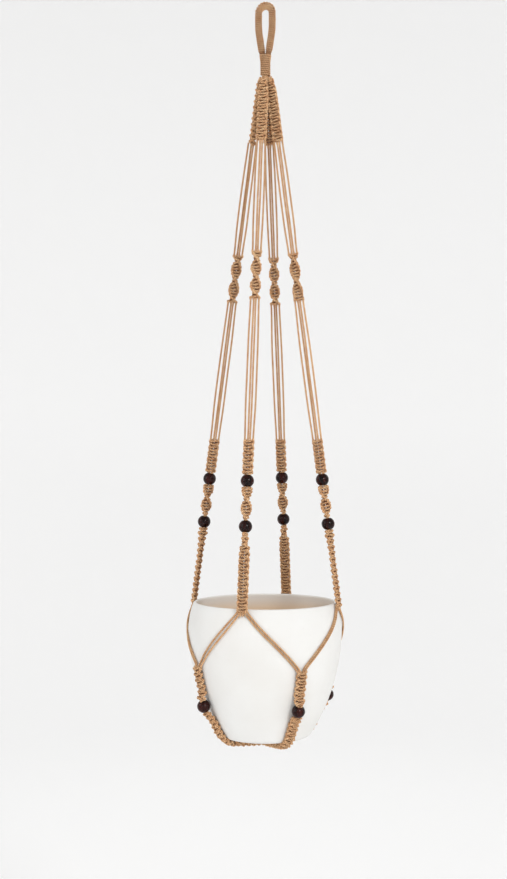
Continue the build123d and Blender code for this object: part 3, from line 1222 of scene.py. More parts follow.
@dataclass(frozen=True)
class LegAxis:
    """One leg's straight centreline and its stations, read from the CAD nodes.

    Attributes:
        name: front, right, back or left.
        angle: The leg's direction seen from above, in degrees.
        cord: The CAD cord's diameter, which sets how its tilted ends show in its box.
    """

    name: str
    angle: float
    cord: float = 3.1

    @property
    def down(self) -> Array:
        """Returns the direction down along the leg."""
        return spin_of(f"upper_bead_{self.name}")[1]

    @property
    def level(self) -> Array:
        """Returns the level direction round the pot."""
        a = math.radians(self.angle)
        return np.array([-math.sin(a), math.cos(a), 0.0])

    def at(self, along: float) -> Array:
        """Returns the point this far below the upper bead's centre along the leg."""
        return spin_of(f"upper_bead_{self.name}")[0] + self.down * along

    def station(self, node: str, half: float, bottom: bool) -> float:
        """Returns where along the leg a CAD node starts or ends, from the upper bead.

        Args:
            node: The node's name without the leg's.
            half: Half of the node's width in the upright plane through the leg.
            bottom: Whether its lower end is asked for.

        Returns:
            The distance along the leg, negative above the upper bead.
        """
        low, high = box_mm(f"{node}_front")
        centre, down = spin_of("upper_bead_front")
        lean = math.hypot(down[0], down[1])
        level = low[2] + half * lean if bottom else high[2] - half * lean
        return float((centre[2] - level) / -down[2])


LEGS = {
    "front": LegAxis("front", -90.0),
    "right": LegAxis("right", 0.0),
    "back": LegAxis("back", 90.0),
    "left": LegAxis("left", 180.0),
}
CORNERS = ("front_right", "back_right", "back_left", "front_left")


def corner_angle(corner: str) -> float:
    """Returns a corner's direction seen from above, in degrees, which its bead gives."""
    centre, _ = spin_of(f"cradle_bead_{corner}")
    return math.degrees(math.atan2(centre[1], centre[0]))


# ------------------------------------------------------------------ sub-assemblies


@dataclass(frozen=True)
class Winding:
    """How the flat of a winding sennit turns on its way down, in degrees.

    Attributes:
        start: Gained within the first knots.
        through: Gained evenly over the whole length.
        end: Gained within the last knots.
        ease: The length that the first and the last knots take.
    """

    start: float
    through: float
    end: float
    ease: float = 9.0

    def turn(self, flat: float, length: float) -> Callable[[Array], Array]:
        """Returns the turn as a function of the distance down.

        Args:
            flat: The turn that it starts from.
            length: The sennit's length in millimetres.

        Returns:
            The function.
        """
        return lambda s: (
            flat
            + self.start * smooth_step(s / self.ease)
            + self.through * np.clip(s / length, 0.0, 1.0)
            + self.end * smooth_step((s - length + self.ease) / self.ease)
        )


@dataclass
class Leg:
    """One leg: sennits, straight cords, a spiral and a twist, down to the pot's rim.

    Attributes:
        axis: The leg's centreline.
        stock: The cord.
        knot_stock: The same cord where knots fluff it up.
        material: The cord's material.
        across_turn: The quarter turn of the fans and the middle sennit, in degrees.
        top_turn: The same for the top sennit.
        seed: Sets the small unevenness.
        fan: A straight outer cord to the leg's middle, half way down its run.
        bead_reach: The bead's centre to the nearest knot.
        spiral: How the half knots of the spiral wind round.
        twist: The same between the beads.
        gather: The turn of the long sennit's flat below the bead, and how soon it is gone.
        thinning: The share of its thickness that the long sennit loses on its way down.
        style: The half knot's proportions.
    """

    axis: LegAxis
    stock: CordStock
    knot_stock: CordStock
    material: Material
    across_turn: float
    top_turn: float
    seed: int
    fan: float = 7.4
    bead_reach: float = 10.2
    spiral: Winding = Winding(-16.0, -480.0, -44.0)
    twist: Winding = Winding(20.0, -315.0, 0.0)
    gather: tuple[float, float] = (90.0, 26.0)
    thinning: float = 0.0
    style: KnotStyle = KnotStyle()

    def spine(self, start: float, end: float, turn: Callable[[Array], Array]) -> Spine:
        """Returns the straight spine between two distances from the upper bead."""
        steps = np.linspace(start, end, 8)[:, None]
        line = self.axis.at(0.0) + self.axis.down * steps
        return Spine(line, self.axis.level, turn)

    def fan_end(self, sign: float) -> CordEnds:
        """Returns a knot's hold on the straight cords above (-1) or below (1) it."""
        core = self.style.core
        return CordEnds(((-self.style.half_width * 0.99, 0.0, 1.2 * sign),), (core, 0.0, 1.5 * sign))

    def sennit(
        self, node: str, start: float, end: float, weave: Weave, head: CordEnds, tail: CordEnds,
        turn: Callable[[Array], Array], **more: object,
    ) -> None:
        """Builds one knotted stretch and puts it in its CAD node's place.

        Args:
            node: The CAD node's name without the leg's.
            start: Its first knot, from the upper bead.
            end: Its last knot.
            weave: Square or spiral.
            head: Where its cords come from.
            tail: Where they go to.
            turn: The turn of its flat at each distance down it.
            more: Other fields of the sennit.
        """
        name = f"{node}_{self.axis.name}"
        self.seed += 7
        made = Sennit(
            f"knots_{name}", self.spine(start, end, turn), end - start, weave, head, tail,
            seed=self.seed, **more,
        ).build(self.knot_stock, self.material)
        fit(made, "hanger", Slot.CORD, name)

    def straight_cords(self, node: str, start: float, end: float, turn: float) -> None:
        """Builds four taut cords between two knots and puts them in their CAD node's place.

        Args:
            node: The CAD node's name without the leg's.
            start: Where the knot above ends.
            end: Where the knot below starts.
            turn: The turn of their fan about the leg, in degrees.
        """
        name = f"{node}_{self.axis.name}"
        length = end - start
        core, side = self.stock.diameter / 2, self.style.half_width
        spine = self.spine(start, end, lambda s: np.full_like(s, turn))
        random = np.random.default_rng(self.seed + 90)
        places = ((-side, -self.fan), (-core, -core), (core, core), (side, self.fan))
        for number, (held, free) in enumerate(places):
            sway = random.normal(0.0, 0.22, (3, 2))
            route = np.array([
                [held, 0.0, -0.6],
                [held * 0.94 + free * 0.06, 0.0, 0.07 * length],
                [free + sway[0, 0], sway[0, 1], 0.28 * length],
                [free + sway[1, 0], sway[1, 1], 0.52 * length],
                [free + sway[2, 0], sway[2, 1], 0.76 * length],
                [held * 0.94 + free * 0.06, 0.0, 0.93 * length],
                [held, 0.0, length + 0.6],
            ])
            placed = spine.place(route)
            line = resample(nurbs_line(placed), 1.15)
            surface = Surface()
            self.stock.sweep(surface, line, random.normal(0.0, STRAIGHT_TONE), random.uniform(0, ANY_TURN))
            piece = surface.build(f"{name}_{number + 1}", self.material)
            fit(piece, "hanger", Slot.CORD, name)

    def build(self) -> None:
        """Builds the whole leg from the neck to the pot's rim."""
        axis = self.axis
        half = axis.cord / 2
        top_end = axis.station("upper_cords", half, False)
        fan_end = axis.station("upper_cords", half, True)
        spiral_end = axis.station("middle_cords", half, False)
        middle_end = axis.station("middle_cords", half, True)
        lower_bead = float(np.linalg.norm(spin_of(f"lower_bead_{axis.name}")[0] - axis.at(0.0)))
        top_start = axis.station("top_sennit", 0.0, False) + 0.6
        split = axis.station("long_sennit", 4.3, True)
        flat = self.across_turn
        reach = self.bead_reach

        self.sennit(
            "top_sennit", top_start, top_end, Weave.SQUARE,
            CordEnds(((-2.4, 0.9, -1.5),), (1.6, 1.2, -2.5)), self.fan_end(1.0),
            lambda s: np.full_like(s, self.top_turn),
            squeeze=lambda s: 0.62 + 0.38 * smooth_step(s / 22.0),
        )
        self.straight_cords("upper_cords", top_end, fan_end, flat)
        self.sennit(
            "spiral", fan_end, spiral_end, Weave.SPIRAL, self.fan_end(-1.0), self.fan_end(1.0),
            self.spiral.turn(flat, spiral_end - fan_end),
        )
        self.straight_cords("middle_cords", spiral_end, middle_end, flat)
        self.sennit(
            "square_sennit", middle_end, -reach, Weave.SQUARE, self.fan_end(-1.0), into_bead(reach),
            lambda s: np.full_like(s, flat),
        )
        self.sennit(
            "twist_sennit", reach, lower_bead - reach, Weave.SPIRAL, from_bead(reach), into_bead(reach),
            self.twist.turn(flat, lower_bead - 2 * reach),
        )
        self.sennit(
            "long_sennit", lower_bead + reach, split, Weave.SQUARE, from_bead(reach),
            CordEnds(((-4.7, 0.0, 0.5),), (1.75, 0.0, -0.5)),
            lambda s: self.gather[0] * (1.0 - smooth_step((s - 4.0) / self.gather[1])),
            flatten=lambda s: 1.0 - self.thinning * smooth_step((s - 4.0) / 40.0),
        )
        LOG.info("leg %s: knots, cords and twists done", axis.name)


def fit(piece: bpy.types.Object, body: str, slot: Slot, *nodes: str) -> None:
    """Makes a piece ride on a body, in place of CAD nodes.

    Args:
        piece: The Blender object.
        body: The body that it moves with.
        slot: The record's material slot; not used.
        nodes: The CAD nodes that it stands for.
    """
    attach(piece, body)
    if nodes:
        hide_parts(*nodes)


@dataclass
class Bead:
    """A turned round bead with a bore.

    Attributes:
        diameter: Across the bead.
        bore: The bore's diameter.
        mouth: How far the bore's mouth is rounded over.
    """

    diameter: float = 19.0
    bore: float = 8.0
    mouth: float = 0.9

    def profile(self) -> Array:
        """Returns the bead's closed outline as (radius, height), the outside on its right.

        The outside is an arc about the centre, between the two mouths. Each mouth is an
        easy corner into the bore, which is straight.
        """
        outer, inner = self.diameter / 2, self.bore / 2
        edge = math.asin((inner + self.mouth) / outer)
        swing = np.linspace(-math.pi / 2 + edge, math.pi / 2 - edge, 34)
        arc = np.stack([outer * np.cos(swing), outer * np.sin(swing)], axis=1)
        flat = math.sqrt(outer**2 - inner**2)
        top = easy_corner(arc[-1], np.array([inner + 0.1, flat]), np.array([inner, flat - 1.4]), 6)[1:]
        bottom = top[::-1] * np.array([1.0, -1.0])
        straight = np.linspace(top[-1], bottom[0], 8)[1:-1]
        return np.vstack([arc, top, straight, bottom])

    def build(self, name: str, material: Material) -> None:
        """Builds one bead where its spin joint is.

        Args:
            name: The CAD node's name, which is its body's as well.
            material: The bead's wood.
        """
        centre, down = spin_of(name)
        surface = lathe(self.profile(), 56, closed=True)
        side = unit(np.cross(down, [0.31, 0.95, 0.12]))
        other = np.cross(down, side)
        turned = surface.vertices[0] @ np.stack([side, other, down])
        surface.vertices[0] = turned + centre
        piece = surface.build(f"turned_{name}", material)
        fit(piece, name, Slot.BEAD, name)


@dataclass
class Pot:
    """The ceramic pot: one turned shell with a rounded lip and foot.

    Attributes:
        shape: The outer wall's outline.
        wall: The wall's thickness.
        floor: The floor's thickness.
        foot_round: How far the foot's corner is rounded.
        lip: How far the lip is rounded over.
    """

    shape: PotShape
    wall: float = 4.5
    floor: float = 7.0
    foot_round: float = 7.5
    lip: float = 1.9

    def profile(self) -> Array:
        """Returns the outline from the underside's middle, round the lip, to the floor's.

        The walls are the shape's arcs, taken at even levels, and the corners between
        them are easy corners.
        """
        shape = self.shape
        foot_z, rim_z = shape.foot, shape.rim
        foot_r = float(shape.wall(foot_z)[0])
        outer_levels = np.linspace(foot_z + self.foot_round, rim_z - self.lip, 60)
        outer = np.stack(shape.wall(outer_levels), axis=1)
        under = np.linspace(0.0, foot_r - self.foot_round, 14)
        underside = np.stack([under, np.full(14, foot_z)], axis=1)
        foot = easy_corner(underside[-1], np.array([foot_r + 0.6, foot_z]), outer[0], 12)[1:-1]
        inner_levels = np.linspace(rim_z - self.lip, foot_z + self.floor + 12.0, 56)
        inner = np.stack(shape.wall(inner_levels, -self.wall), axis=1)
        rim_r = float(shape.wall(rim_z)[0]) - self.wall / 2
        crest = np.array([rim_r, rim_z])
        lip_out = easy_corner(outer[-1], np.array([rim_r + self.wall / 2 - 0.1, rim_z]), crest, 7)[1:]
        lip_in = easy_corner(crest, np.array([rim_r - self.wall / 2 + 0.1, rim_z]), inner[0], 7)[1:-1]
        floor_z = foot_z + self.floor
        floor_r = float(inner[-1][0])
        bend = easy_corner(
            inner[-1], np.array([floor_r - 5.0, floor_z]), np.array([floor_r - 16.0, floor_z]), 12
        )[1:]
        floor = np.stack([np.linspace(bend[-1][0], 0.0, 10), np.full(10, floor_z)], axis=1)[1:]
        return np.vstack([underside, foot, outer, lip_out, lip_in, inner, bend, floor])

    def build(self, material: Material) -> None:
        """Builds the pot in its CAD node's place.

        Args:
            material: The ceramic.
        """
        sides = 160
        profile = self.profile()
        surface = lathe(profile, sides, closed=False)
        # The inside mark sets the painted bounce light and shade, growing from 4 mm below the rim down the
        # inner wall.
        crest = int(np.argmax(profile[:, 1]))
        deep = smooth_step((self.shape.rim - profile[:, 1] - 4.0) / 26.0)
        deep[:crest] = 0.0
        surface.marks["inside"] = [np.append(np.repeat(deep[1:-1], sides), [0.0, 1.0])]
        fit(surface.build("ceramic_pot", material), "pot", Slot.POT, "pot")
        LOG.info("pot: turned")


@dataclass
class HangingLoop:
    """The loop and the neck: a core of cords, close wrapping, and the root of the legs.

    Attributes:
        stock: The cord.
        material: The cord's material.
        wrap_d: Over the wrapping of the loop.
        eye_straight: The eye's top down to where its arms start to close.
        eye_length: The eye's top down to where the wrapping ends.
        mouth_width: Between the arms' centrelines there.
        neck_drop: The eye's top down to the neck.
        close_drop: How far above the neck the arms' wrapping ends.
        sway_room: Free height under the neck's last turn, for the legs to sway.
        wrap_pitch: From one turn of the wrapping to the next.
    """

    stock: CordStock
    material: Material
    wrap_d: float = 11.2
    eye_straight: float = 29.0
    eye_length: float = 61.0
    mouth_width: float = 11.4
    neck_drop: float = 70.0
    close_drop: float = 3.5
    sway_room: float = 0.8
    wrap_pitch: float = 3.1

    def route(self) -> Array:
        """Returns the loop's centreline from the left foot, over the top, to the right.

        The top is half a circle. Each arm is straight below it and then closes in.
        """
        low, high = box_mm("loop_wrap")
        arm = (high[0] - low[0] - self.wrap_d) / 2
        crown = high[2] - self.wrap_d / 2 - arm
        mouth = self.mouth_width / 2
        angle = np.linspace(np.pi, 0.0, 9)
        arc = np.stack([arm * np.cos(angle), 0 * angle, crown + arm * np.sin(angle)], axis=1)
        left = np.array([
            [-3.0, 0.0, -self.neck_drop - 6.0],
            [-3.6, 0.0, -self.neck_drop + 1.0],
            [-mouth, 0.0, -self.eye_length + 1.0],
            [-(mouth + arm) / 2, 0.0, -(self.eye_length + self.eye_straight) / 2],
            [-arm + 0.15, 0.0, -self.eye_straight],
        ])
        right = left[::-1] * np.array([-1.0, 1.0, 1.0])
        return resample(smooth_line(np.vstack([left, arc, right]), 14), 0.7)

    def wrapping(self) -> tuple[Array, Thickness]:
        """Works out the wrapping cord's centreline.

        It is a helix about the core: at each distance s along the core, it stands off by
        the wrap's radius at the angle 2 pi s / pitch, in the plane square to the core. It
        swells at the crown and thins where the two arms close up.

        Returns:
            The line, and the wrapped loop that it is part of, which sets the painted shade between its turns.
        """
        core = self.route()
        keep = core[:, 2] > self.close_drop - self.neck_drop
        core = resample(core[keep], 0.11)
        along = distances(core)
        direction = tangents(core)
        side = np.cross(direction, [0.0, 1.0, 0.0])
        side = unit(side)
        front = np.broadcast_to([0.0, 1.0, 0.0], side.shape)
        angle = 2 * np.pi * along / self.wrap_pitch
        off = (self.wrap_d - self.stock.diameter) / 2
        swell = 1.0 + 0.025 * np.sin(along * 0.37) + 0.02 * np.sin(along * 0.9 + 1.0)
        swell += 0.12 * smooth_step((core[:, 2] + 4.0) / 10.0)
        swell -= 0.30 * smooth_step((-self.eye_length + 3.0 - core[:, 2]) / 8.0)
        away = side * np.cos(angle)[:, None] + front * np.sin(angle)[:, None]
        line = core + away * (off * swell)[:, None]
        every = distances(line)
        even = np.linspace(0.0, every[-1], int(every[-1]))
        both = np.hstack([line, core, side])
        line, centre, side = np.split(
            np.stack([np.interp(even, every, column) for column in both.T], axis=1), 3, axis=1
        )
        half = self.wrap_d / 2
        front = np.broadcast_to([0.0, 1.0, 0.0], line.shape)
        # Painted shade between the turns, where they sink towards the core.
        return line, Thickness(centre, side, front, half, half, dark=0.6, bright=1.0)

    def neck_wrapping(self) -> tuple[Array, Thickness]:
        """Works out the neck wrap's centreline.

        It is a close helix about the planter's axis, wider at its top, where it takes in
        both of the loop's arms.

        Returns:
            The line, and the wrapped neck that it is part of, which sets the painted shade between its turns.
        """
        low, high = box_mm("neck_wrap")
        d = self.stock.diameter
        radius = (high[0] - low[0] - d) / 2
        top, bottom = high[2] + self.close_drop, low[2] + d / 2 + self.sway_room
        turns = round((top - bottom) / (d * 1.03))
        t = np.linspace(0.0, 1.0, int(turns * 14))
        angle = 2 * np.pi * turns * t + 0.6
        level = top + (bottom - top) * t
        spread = 1.0 - smooth_step((top - level) / 13.0)
        wide = radius * (1.0 + 0.015 * np.sin(3 * angle)) + 1.5 * spread
        deep = radius * (1.0 + 0.015 * np.sin(3 * angle)) - 0.4 * spread
        line = np.stack([wide * np.cos(angle), deep * np.sin(angle), level], axis=1)
        tuck_in = np.array([[radius * 0.45 * math.cos(0.2), radius * 0.45 * math.sin(0.2), top + 1.0]])
        last = angle[-1] + 0.5
        tuck_out = np.array([[radius * 0.45 * math.cos(last), radius * 0.45 * math.sin(last), bottom - 0.5]])
        line = resample(smooth_line(np.vstack([tuck_in, line, tuck_out]), 8), 1.0)
        centre = line * [0.0, 0.0, 1.0]
        across = np.broadcast_to([1.0, 0.0, 0.0], line.shape)
        front = np.broadcast_to([0.0, 1.0, 0.0], line.shape)
        half = radius + d / 2
        # Painted shade between the turns, where they sink towards the neck's middle.
        return line, Thickness(centre, across, front, half, half, dark=0.78, bright=0.98)

    def core_lines(self) -> list[Array]:
        """Returns the core's cords, which show where the wrapping ends.

        Four cords lie round the core's centreline and turn slowly about it.
        """
        core = self.route()
        along = distances(core)
        direction = tangents(core)
        side = unit(np.cross(direction, [0.0, 1.0, 0.0]))
        off = self.stock.diameter * 0.58
        lines = []
        for quarter in range(4):
            angle = quarter * np.pi / 2 + along * 0.035 + 0.5
            away = side * np.cos(angle)[:, None] + np.array([0.0, 1.0, 0.0]) * np.sin(angle)[:, None]
            lines.append(resample(core + away * off, 1.2))
        return lines

    def root_lines(self) -> list[Array]:
        """Returns the sixteen cords that leave the neck for the legs' first knots.

        Each runs from the neck's middle to its own place above a leg's first knot.
        """
        low, _ = box_mm("neck_wrap")
        lines = []
        for axis in LEGS.values():
            start = axis.station("top_sennit", 0.0, False)
            top = axis.at(start)
            out = np.array([math.cos(math.radians(axis.angle)), math.sin(math.radians(axis.angle)), 0.0])
            for number, (across, depth) in enumerate(((-4.0, 0.4), (-1.5, 1.4), (1.5, -1.4), (4.0, -0.4))):
                foot = top + axis.level * across + out * depth + axis.down * 5.0
                knee = top + axis.level * across * 0.72 + out * (depth - 1.2)
                inside = out * (2.6 + 0.6 * (number % 2)) + axis.level * across * 0.62
                head = np.array([inside[0] * 0.8, inside[1] * 0.8, low[2] + 14.0])
                gate = np.array([inside[0], inside[1], low[2] + 1.0])
                lines.append(resample(smooth_line(np.vstack([head, gate, knee, foot]), 8), 1.0))
        return lines

    def build(self) -> None:
        """Builds the loop's core and wrap, the neck wrap and the legs' roots."""
        random = np.random.default_rng(41)
        shapes = {
            "cord_loop_core": ([(line, None) for line in self.core_lines()], ("loop_core", "neck_core")),
            "cord_loop_wrap": ([self.wrapping()], ("loop_wrap",)),
            "cord_neck_wrap": ([self.neck_wrapping()], ("neck_wrap",)),
        }
        for name, (lines, nodes) in shapes.items():
            surface = Surface()
            for line, inside in lines:
                tone = random.normal(0.0, WRAP_TONE)
                self.stock.sweep(surface, line, tone, random.uniform(0, ANY_TURN), inside)
            fit(surface.build(name, self.material), "loop", Slot.CORD, *nodes)
        roots = Surface()
        for line in self.root_lines():
            self.stock.sweep(roots, line, random.normal(0.0, WRAP_TONE), random.uniform(0, ANY_TURN))
        piece = roots.build("cord_leg_roots", self.material)
        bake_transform(piece)
        LOG.info("loop and neck: wrapped")


@dataclass
class Cradle:
    """The net over the pot and the four corners that carry it from below.

    Attributes:
        stock: The cord.
        knot_stock: The same cord where knots fluff it up.
        material: The cord's material.
        shape: The pot's outline.
        gap: Clear space between the pot and a cord that lies on it.
        net_drop: The legs' split down to where the net's cords meet.
        knot_half: Half of a sennit's thickness.
        bead_reach: A bead's centre to the nearest knot.
        open_spread: How far the open pair of cords hangs apart.
        style: The half knot's proportions.
        weave_half: Half of the length of a cord in the knot under the pot.
    """

    stock: CordStock
    knot_stock: CordStock
    material: Material
    shape: PotShape
    gap: float = 0.35
    net_drop: float = 82.0
    knot_half: float = 4.75
    bead_reach: float = 10.4
    open_spread: float = 3.4
    style: KnotStyle = KnotStyle()
    weave_half: float = 14.5

    @property
    def split_level(self) -> float:
        """Returns the level where the legs part over the pot."""
        axis = LEGS["front"]
        return float(axis.at(axis.station("long_sennit", 4.3, True))[2])

    def on_wall(self, turn: Array, level: Array, gap: float) -> Array:
        """Returns points off the pot's wall.

        Args:
            turn: Their directions seen from above, in degrees.
            level: The levels on the wall that they stand opposite.
            gap: How far off the wall they are.

        Returns:
            The points in millimetres, (n, 3).
        """
        radius, height = self.shape.wall(level, gap)
        a = np.radians(turn)
        return np.stack([radius * np.cos(a), radius * np.sin(a), height], axis=1)

    def net_line(self, angle: float, side: int, upper: bool, spread: float) -> Array:
        """Returns one net cord, from its leg's last knot to the corner's first.

        On the unrolled wall it is a straight line with a small sag. It leaves and arrives
        between the cords beside it, one and a half or half a cord from the middle.

        Args:
            angle: The leg's direction in degrees.
            side: 1 to the left seen from outside, -1 to the right.
            upper: Whether it is the upper cord of its pair.
            spread: How far the lower cord sags away from the upper.

        Returns:
            The line in millimetres.
        """
        half = self.stock.diameter * 0.55
        leaves, arrives = (3 * half, half) if upper else (half, 3 * half)
        radius = self.shape.belly
        top = self.split_level + (5.5 if upper else 4.0)
        bottom = self.split_level - self.net_drop - (3.0 if upper else 4.5)
        t = np.linspace(0.0, 1.0, 15)
        reach = abs((corner_angle(self.corner_beside(angle, side)) - angle + 180.0) % 360.0 - 180.0)
        first, last = math.degrees(leaves / radius), reach - math.degrees(arrives / radius)
        straight = np.clip((t - 0.02) / 0.95, 0.0, 1.0)
        eased = 0.85 * straight + 0.15 * smooth_step(straight)
        sag = 0.0 if upper else spread
        turn = angle + side * (first + (last - first) * eased)
        level = top + (bottom - top) * t - sag * np.sin(np.pi * t)
        off = self.gap + self.stock.diameter / 2
        ends = self.knot_half - self.stock.diameter / 2
        lift = ends * (1.0 - smooth_step(t / 0.12) + smooth_step((t - 0.9) / 0.1))
        radius_at, height = self.shape.wall(np.minimum(level, self.shape.rim - 0.1), off)
        a = np.radians(turn)
        out = radius_at + lift
        points = np.stack([out * np.cos(a), out * np.sin(a), level + (height - level) * 0.5], axis=1)
        return resample(smooth_line(points, 8), 1.1)

    def corner_beside(self, angle: float, side: int) -> str:
        """Returns the corner on one side of a leg."""
        wanted = (angle + 45.0 * side) % 360.0
        return min(CORNERS, key=lambda name: abs((corner_angle(name) - wanted + 180.0) % 360.0 - 180.0))

    def build_net(self) -> None:
        """Builds the four net pieces, each with its leg's two pairs of cords."""
        random = np.random.default_rng(77)
        for name, axis in LEGS.items():
            surface = Surface()
            for side in (-1, 1):
                opened = (name, side) in (("front", -1), ("left", 1))
                for upper in (True, False):
                    line = self.net_line(axis.angle, side, upper, self.open_spread if opened else 0.3)
                    tone = random.normal(0.0, STRAIGHT_TONE)
                    self.stock.sweep(surface, line, tone, random.uniform(0, ANY_TURN))
            piece = surface.build(f"net_cord_pairs_{name}", self.material)
            fit(piece, "hanger", Slot.CORD, f"net_cords_{name}")

    def corner_spine(self, corner: str, below: bool) -> tuple[Spine, float]:
        """Returns the spine of the sennit above or below a cradle bead.

        It lies on the pot's wall, and swings out to the bead's bore near the bead. The
        lower one goes round the foot's corner to the knot under the pot's middle.

        Args:
            corner: The corner's name.
            below: Whether the sennit under the bead is asked for.

        Returns:
            The spine and its length.
        """
        centre, down = spin_of(f"cradle_bead_{corner}")
        angle = corner_angle(corner)
        a = math.radians(angle)
        out = np.array([math.cos(a), math.sin(a), 0.0])
        off = self.gap + self.knot_half
        if below:
            start = centre + down * self.bead_reach
            levels = np.array([-20.0, -31.0, -42.0]) + centre[2]
            foot_r, foot_z = float(self.shape.wall(self.shape.foot)[0]), self.shape.foot - off
            hug = self.on_wall(np.full(3, angle), levels, off)
            turn_in = [out * (foot_r + 1.6) + [0, 0, foot_z + 4.6],
                       out * (foot_r - 5.5) + [0, 0, foot_z + 0.3]]
            knot_low, knot_high = box_mm("base_knot")
            sag = foot_z - (knot_low[2] + knot_high[2]) / 2
            run = [out * (foot_r - 16.0) + [0, 0, foot_z - 0.2 * sag],
                   out * 34.0 + [0, 0, foot_z - 0.62 * sag],
                   out * 12.0 + [0, 0, foot_z - sag]]
            points = np.vstack([start, hug, turn_in, run])
        else:
            top = self.split_level - self.net_drop
            levels = np.linspace(top, centre[2] + 24.0, 4)
            hug = self.on_wall(np.full(4, angle), levels, off)
            points = np.vstack([hug, centre - down * self.bead_reach])
        line = resample(smooth_line(points, 16), 1.5)
        across = np.array([-math.sin(a), math.cos(a), 0.0])
        return Spine(line, across, lambda s: np.zeros_like(s)), float(distances(line)[-1])

    def build_corners(self) -> None:
        """Builds the sennits above and below each cradle bead."""
        into, out_of = into_bead(self.bead_reach), from_bead(self.bead_reach)
        from_net = CordEnds(((-4.7, 0.0, -0.5),), (1.75, 0.0, 0.5))
        to_knot = CordEnds(((-4.6, 0.0, 2.0), (-4.6, 0.0, 8.0)), (1.6, 0.0, 8.0))
        for number, corner in enumerate(CORNERS):
            spine, length = self.corner_spine(corner, below=False)
            join = Sennit(f"knots_join_sennit_{corner}", spine, length, Weave.SQUARE, from_net, into,
                          seed=300 + number)
            fit(join.build(self.knot_stock, self.material), "hanger", Slot.CORD, f"join_sennit_{corner}")
            spine, length = self.corner_spine(corner, below=True)
            under = Sennit(f"knots_under_sennit_{corner}", spine, length, Weave.SQUARE, out_of, to_knot,
                           seed=400 + number)
            fit(under.build(self.knot_stock, self.material), "hanger", Slot.CORD, f"under_sennit_{corner}")

    def build_base_knot(self) -> None:
        """Builds the woven knot under the pot, where the four corners' cords meet.

        Two layers of four cords cross each other over and under: along its own length x,
        a cord's height is a cosine with one wave for every two cords that it crosses.
        """
        low, high = box_mm("base_knot")
        middle = (low[2] + high[2]) / 2
        pitch = self.stock.diameter * 1.32
        surface = Surface()
        random = np.random.default_rng(9)
        x = np.linspace(-self.weave_half, self.weave_half, 46)
        for layer in (-1.0, 1.0):
            for row in range(4):
                offset = (row - 1.5) * pitch
                wave = np.cos(np.pi * (x / pitch + 0.5 + row)) * self.stock.diameter * 0.5
                height = middle + layer * 1.9 + wave * 0.9
                for turn, sign in ((math.radians(45), 1.0), (math.radians(135), -1.0)):
                    level = middle + layer * 1.9 + sign * (height - middle - layer * 1.9)
                    u = np.array([math.cos(turn), math.sin(turn), 0.0])
                    v = np.array([-math.sin(turn), math.cos(turn), 0.0])
                    line = x[:, None] * u + offset * v + level[:, None] * np.array([0.0, 0.0, 1.0])
                    tone = random.normal(0.0, WRAP_TONE)
                    self.stock.sweep(surface, line, tone, random.uniform(0, ANY_TURN))
        fit(surface.build("woven_base_knot", self.material), "hanger", Slot.CORD, "base_knot")

    def build(self) -> None:
        """Builds the net, the corners and the knot under the pot."""
        self.build_net()
        self.build_corners()
        self.build_base_knot()
        LOG.info("cradle: net, corners and base knot done")


# ------------------------------------------------------------------ studio


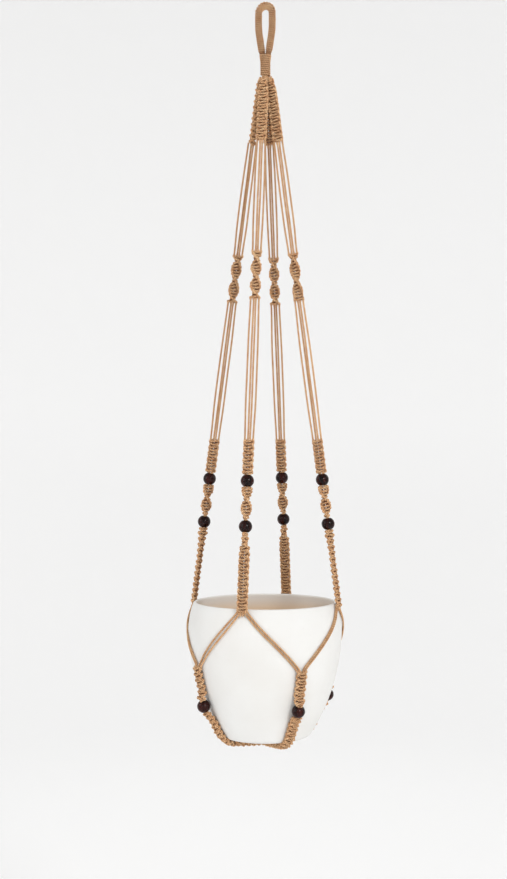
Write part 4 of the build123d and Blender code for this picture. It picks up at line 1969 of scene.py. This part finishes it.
@dataclass
class Studio:
    """A pale seamless floor, soft lights and the camera.

    Attributes:
        distance: The camera to the planter's axis, in metres.
        height: The camera's level, in metres.
        azimuth: Where it stands, in degrees round from the front.
        lens: Its focal length for a 36 mm frame.
        shift: How far the frame is moved sideways, as a share of its width.
        floor: The floor's level, in metres.
    """

    distance: float = 2.06
    height: float = -0.633
    azimuth: float = 17.0
    lens: float = 57.3
    shift: float = -0.0134
    floor: float = -1.75

    def backdrop(self) -> None:
        """Builds a round floor whose edge sweeps up into a wall.

        Its height over the floor is zero out to the sweep's start, then a quarter circle,
        then upright.
        """
        flat = np.linspace(0.0, 3.2, 12)
        swing = np.linspace(0.0, np.pi / 2, 16)[1:]
        sweep_r, sweep_z = 3.2 + 1.2 * np.sin(swing), 1.2 * (1 - np.cos(swing))
        wall_z = np.linspace(1.2, 5.0, 6)[1:]
        radius = np.concatenate([flat, sweep_r, np.full(5, 4.4)])
        height = np.concatenate([0 * flat, sweep_z, wall_z]) + self.floor
        profile = np.stack([radius, height], axis=1)[::-1] / MM
        surface = lathe(np.vstack([[0.0, profile[0, 1]], profile]), 96, closed=False)
        surface.triangles[0] = surface.triangles[0][96:]
        material, graph, shader = start_material("studio_paper")
        graph.feed(shader, "Base Color", (0.9, 0.9, 0.9, 1.0))
        shader.inputs["Roughness"].default_value = 0.9
        shader.inputs["Emission Color"].default_value = (1.0, 1.0, 1.0, 1.0)
        shader.inputs["Emission Strength"].default_value = 0.12
        floor = surface.build("studio_floor", material)

    def lights(self) -> None:
        """Places a large key light, a fill and a rim light, and an even pale surround."""
        aim = np.array([0.0, 0.0, -0.65])
        for name, place, size, power in (
            ("key", (2.1, -2.1, 0.35), 0.5, 34.0),
            ("fill", (-2.4, -1.9, 0.2), 1.8, 15.0),
            ("rim", (-0.6, 2.6, 1.3), 1.4, 15.0),
        ):
            light = bpy.data.lights.new(name, "AREA")
            light.size, light.energy = size, power
            lamp = bpy.data.objects.new(name, light)
            bpy.context.scene.collection.objects.link(lamp)
            lamp.matrix_world = facing(np.array(place), aim)
            lamp.visible_camera = False
        world = bpy.data.worlds.new("surround")
        world.use_nodes = True
        world.node_tree.nodes["Background"].inputs["Color"].default_value = (1.0, 0.995, 0.985, 1.0)
        world.node_tree.nodes["Background"].inputs["Strength"].default_value = 0.56
        bpy.context.scene.world = world

    def camera(self) -> None:
        """Places the camera level with the middle of the planter."""
        a = math.radians(self.azimuth)
        place = np.array([self.distance * math.sin(a), -self.distance * math.cos(a), self.height])
        data = bpy.data.cameras.new("view")
        data.lens, data.sensor_width, data.shift_x = self.lens, 36.0, self.shift
        data.clip_start, data.clip_end = 0.05, 30.0
        camera = bpy.data.objects.new("view", data)
        bpy.context.scene.collection.objects.link(camera)
        camera.matrix_world = facing(place, np.array([0.0, 0.0, self.height]))
        bpy.context.scene.camera = camera

    def build(self) -> None:
        """Sets up the floor, the lights, the camera and the way that tones are shown."""
        self.backdrop()
        self.lights()
        self.camera()
        bpy.context.scene.view_settings.view_transform = "Standard"
        LOG.info("studio: ready")


def facing(place: Array, aim: Array) -> Matrix:
    """Returns the matrix of an object at a place whose -Z looks at a point, with +Y up.

    Args:
        place: Where the object is, in metres.
        aim: What it looks at.

    Returns:
        Its world matrix.
    """
    back = unit(place - aim)
    right = unit(np.cross([0.0, 0.0, 1.0], back))
    up = np.cross(back, right)
    matrix = np.eye(4)
    matrix[:3, 0], matrix[:3, 1], matrix[:3, 2], matrix[:3, 3] = right, up, back, place
    return Matrix(matrix.tolist())


def main() -> None:
    """Builds the studio and the planter, in order, and reports each step."""
    logging.basicConfig(level=logging.INFO, format="%(name)s: %(message)s")
    Studio().build()
    groups = Groups(mottle_group(), fibre_group())
    cord = CordFinish().make(groups)
    wood = BeadFinish().make(groups)
    ceramic = PotFinish().make(groups)
    stock = CordStock()
    knot_stock = CordStock(diameter=3.5, lay=10.5)
    shape = PotShape()

    HangingLoop(stock, cord).build()
    settings = {
        "front": (0.0, 0.0, Winding(-16.0, -480.0, -44.0), Winding(13.0, -300.0, 0.0), (90.0, 26.0), 0.05),
        "right": (90.0, 90.0, Winding(-40.0, -396.0, 76.0), Winding(24.0, -320.0, 0.0), (25.0, 14.0), 0.28),
        "back": (0.0, 0.0, Winding(-17.0, -481.0, -42.0), Winding(14.0, -310.0, 0.0), (90.0, 26.0), 0.05),
        "left": (90.0, 0.0, Winding(-60.0, -422.0, -58.0), Winding(36.0, -333.0, 0.0), (20.0, 14.0), 0.40),
    }
    for number, (name, (across, top, spiral, twist, gather, thin)) in enumerate(settings.items()):
        Leg(
            LEGS[name], stock, knot_stock, cord, across, top, 100 * (number + 1), spiral=spiral,
            twist=twist, gather=gather, thinning=thin,
        ).build()
    Cradle(stock, knot_stock, cord, shape).build()
    Pot(shape).build(ceramic)
    bead = Bead()
    for joint in JOINTS:
        if joint.endswith("_spin"):
            bead.build(joint.removesuffix("_spin"), wood)
    LOG.info("beads: turned and strung")


if __name__ == "__main__":
    main()
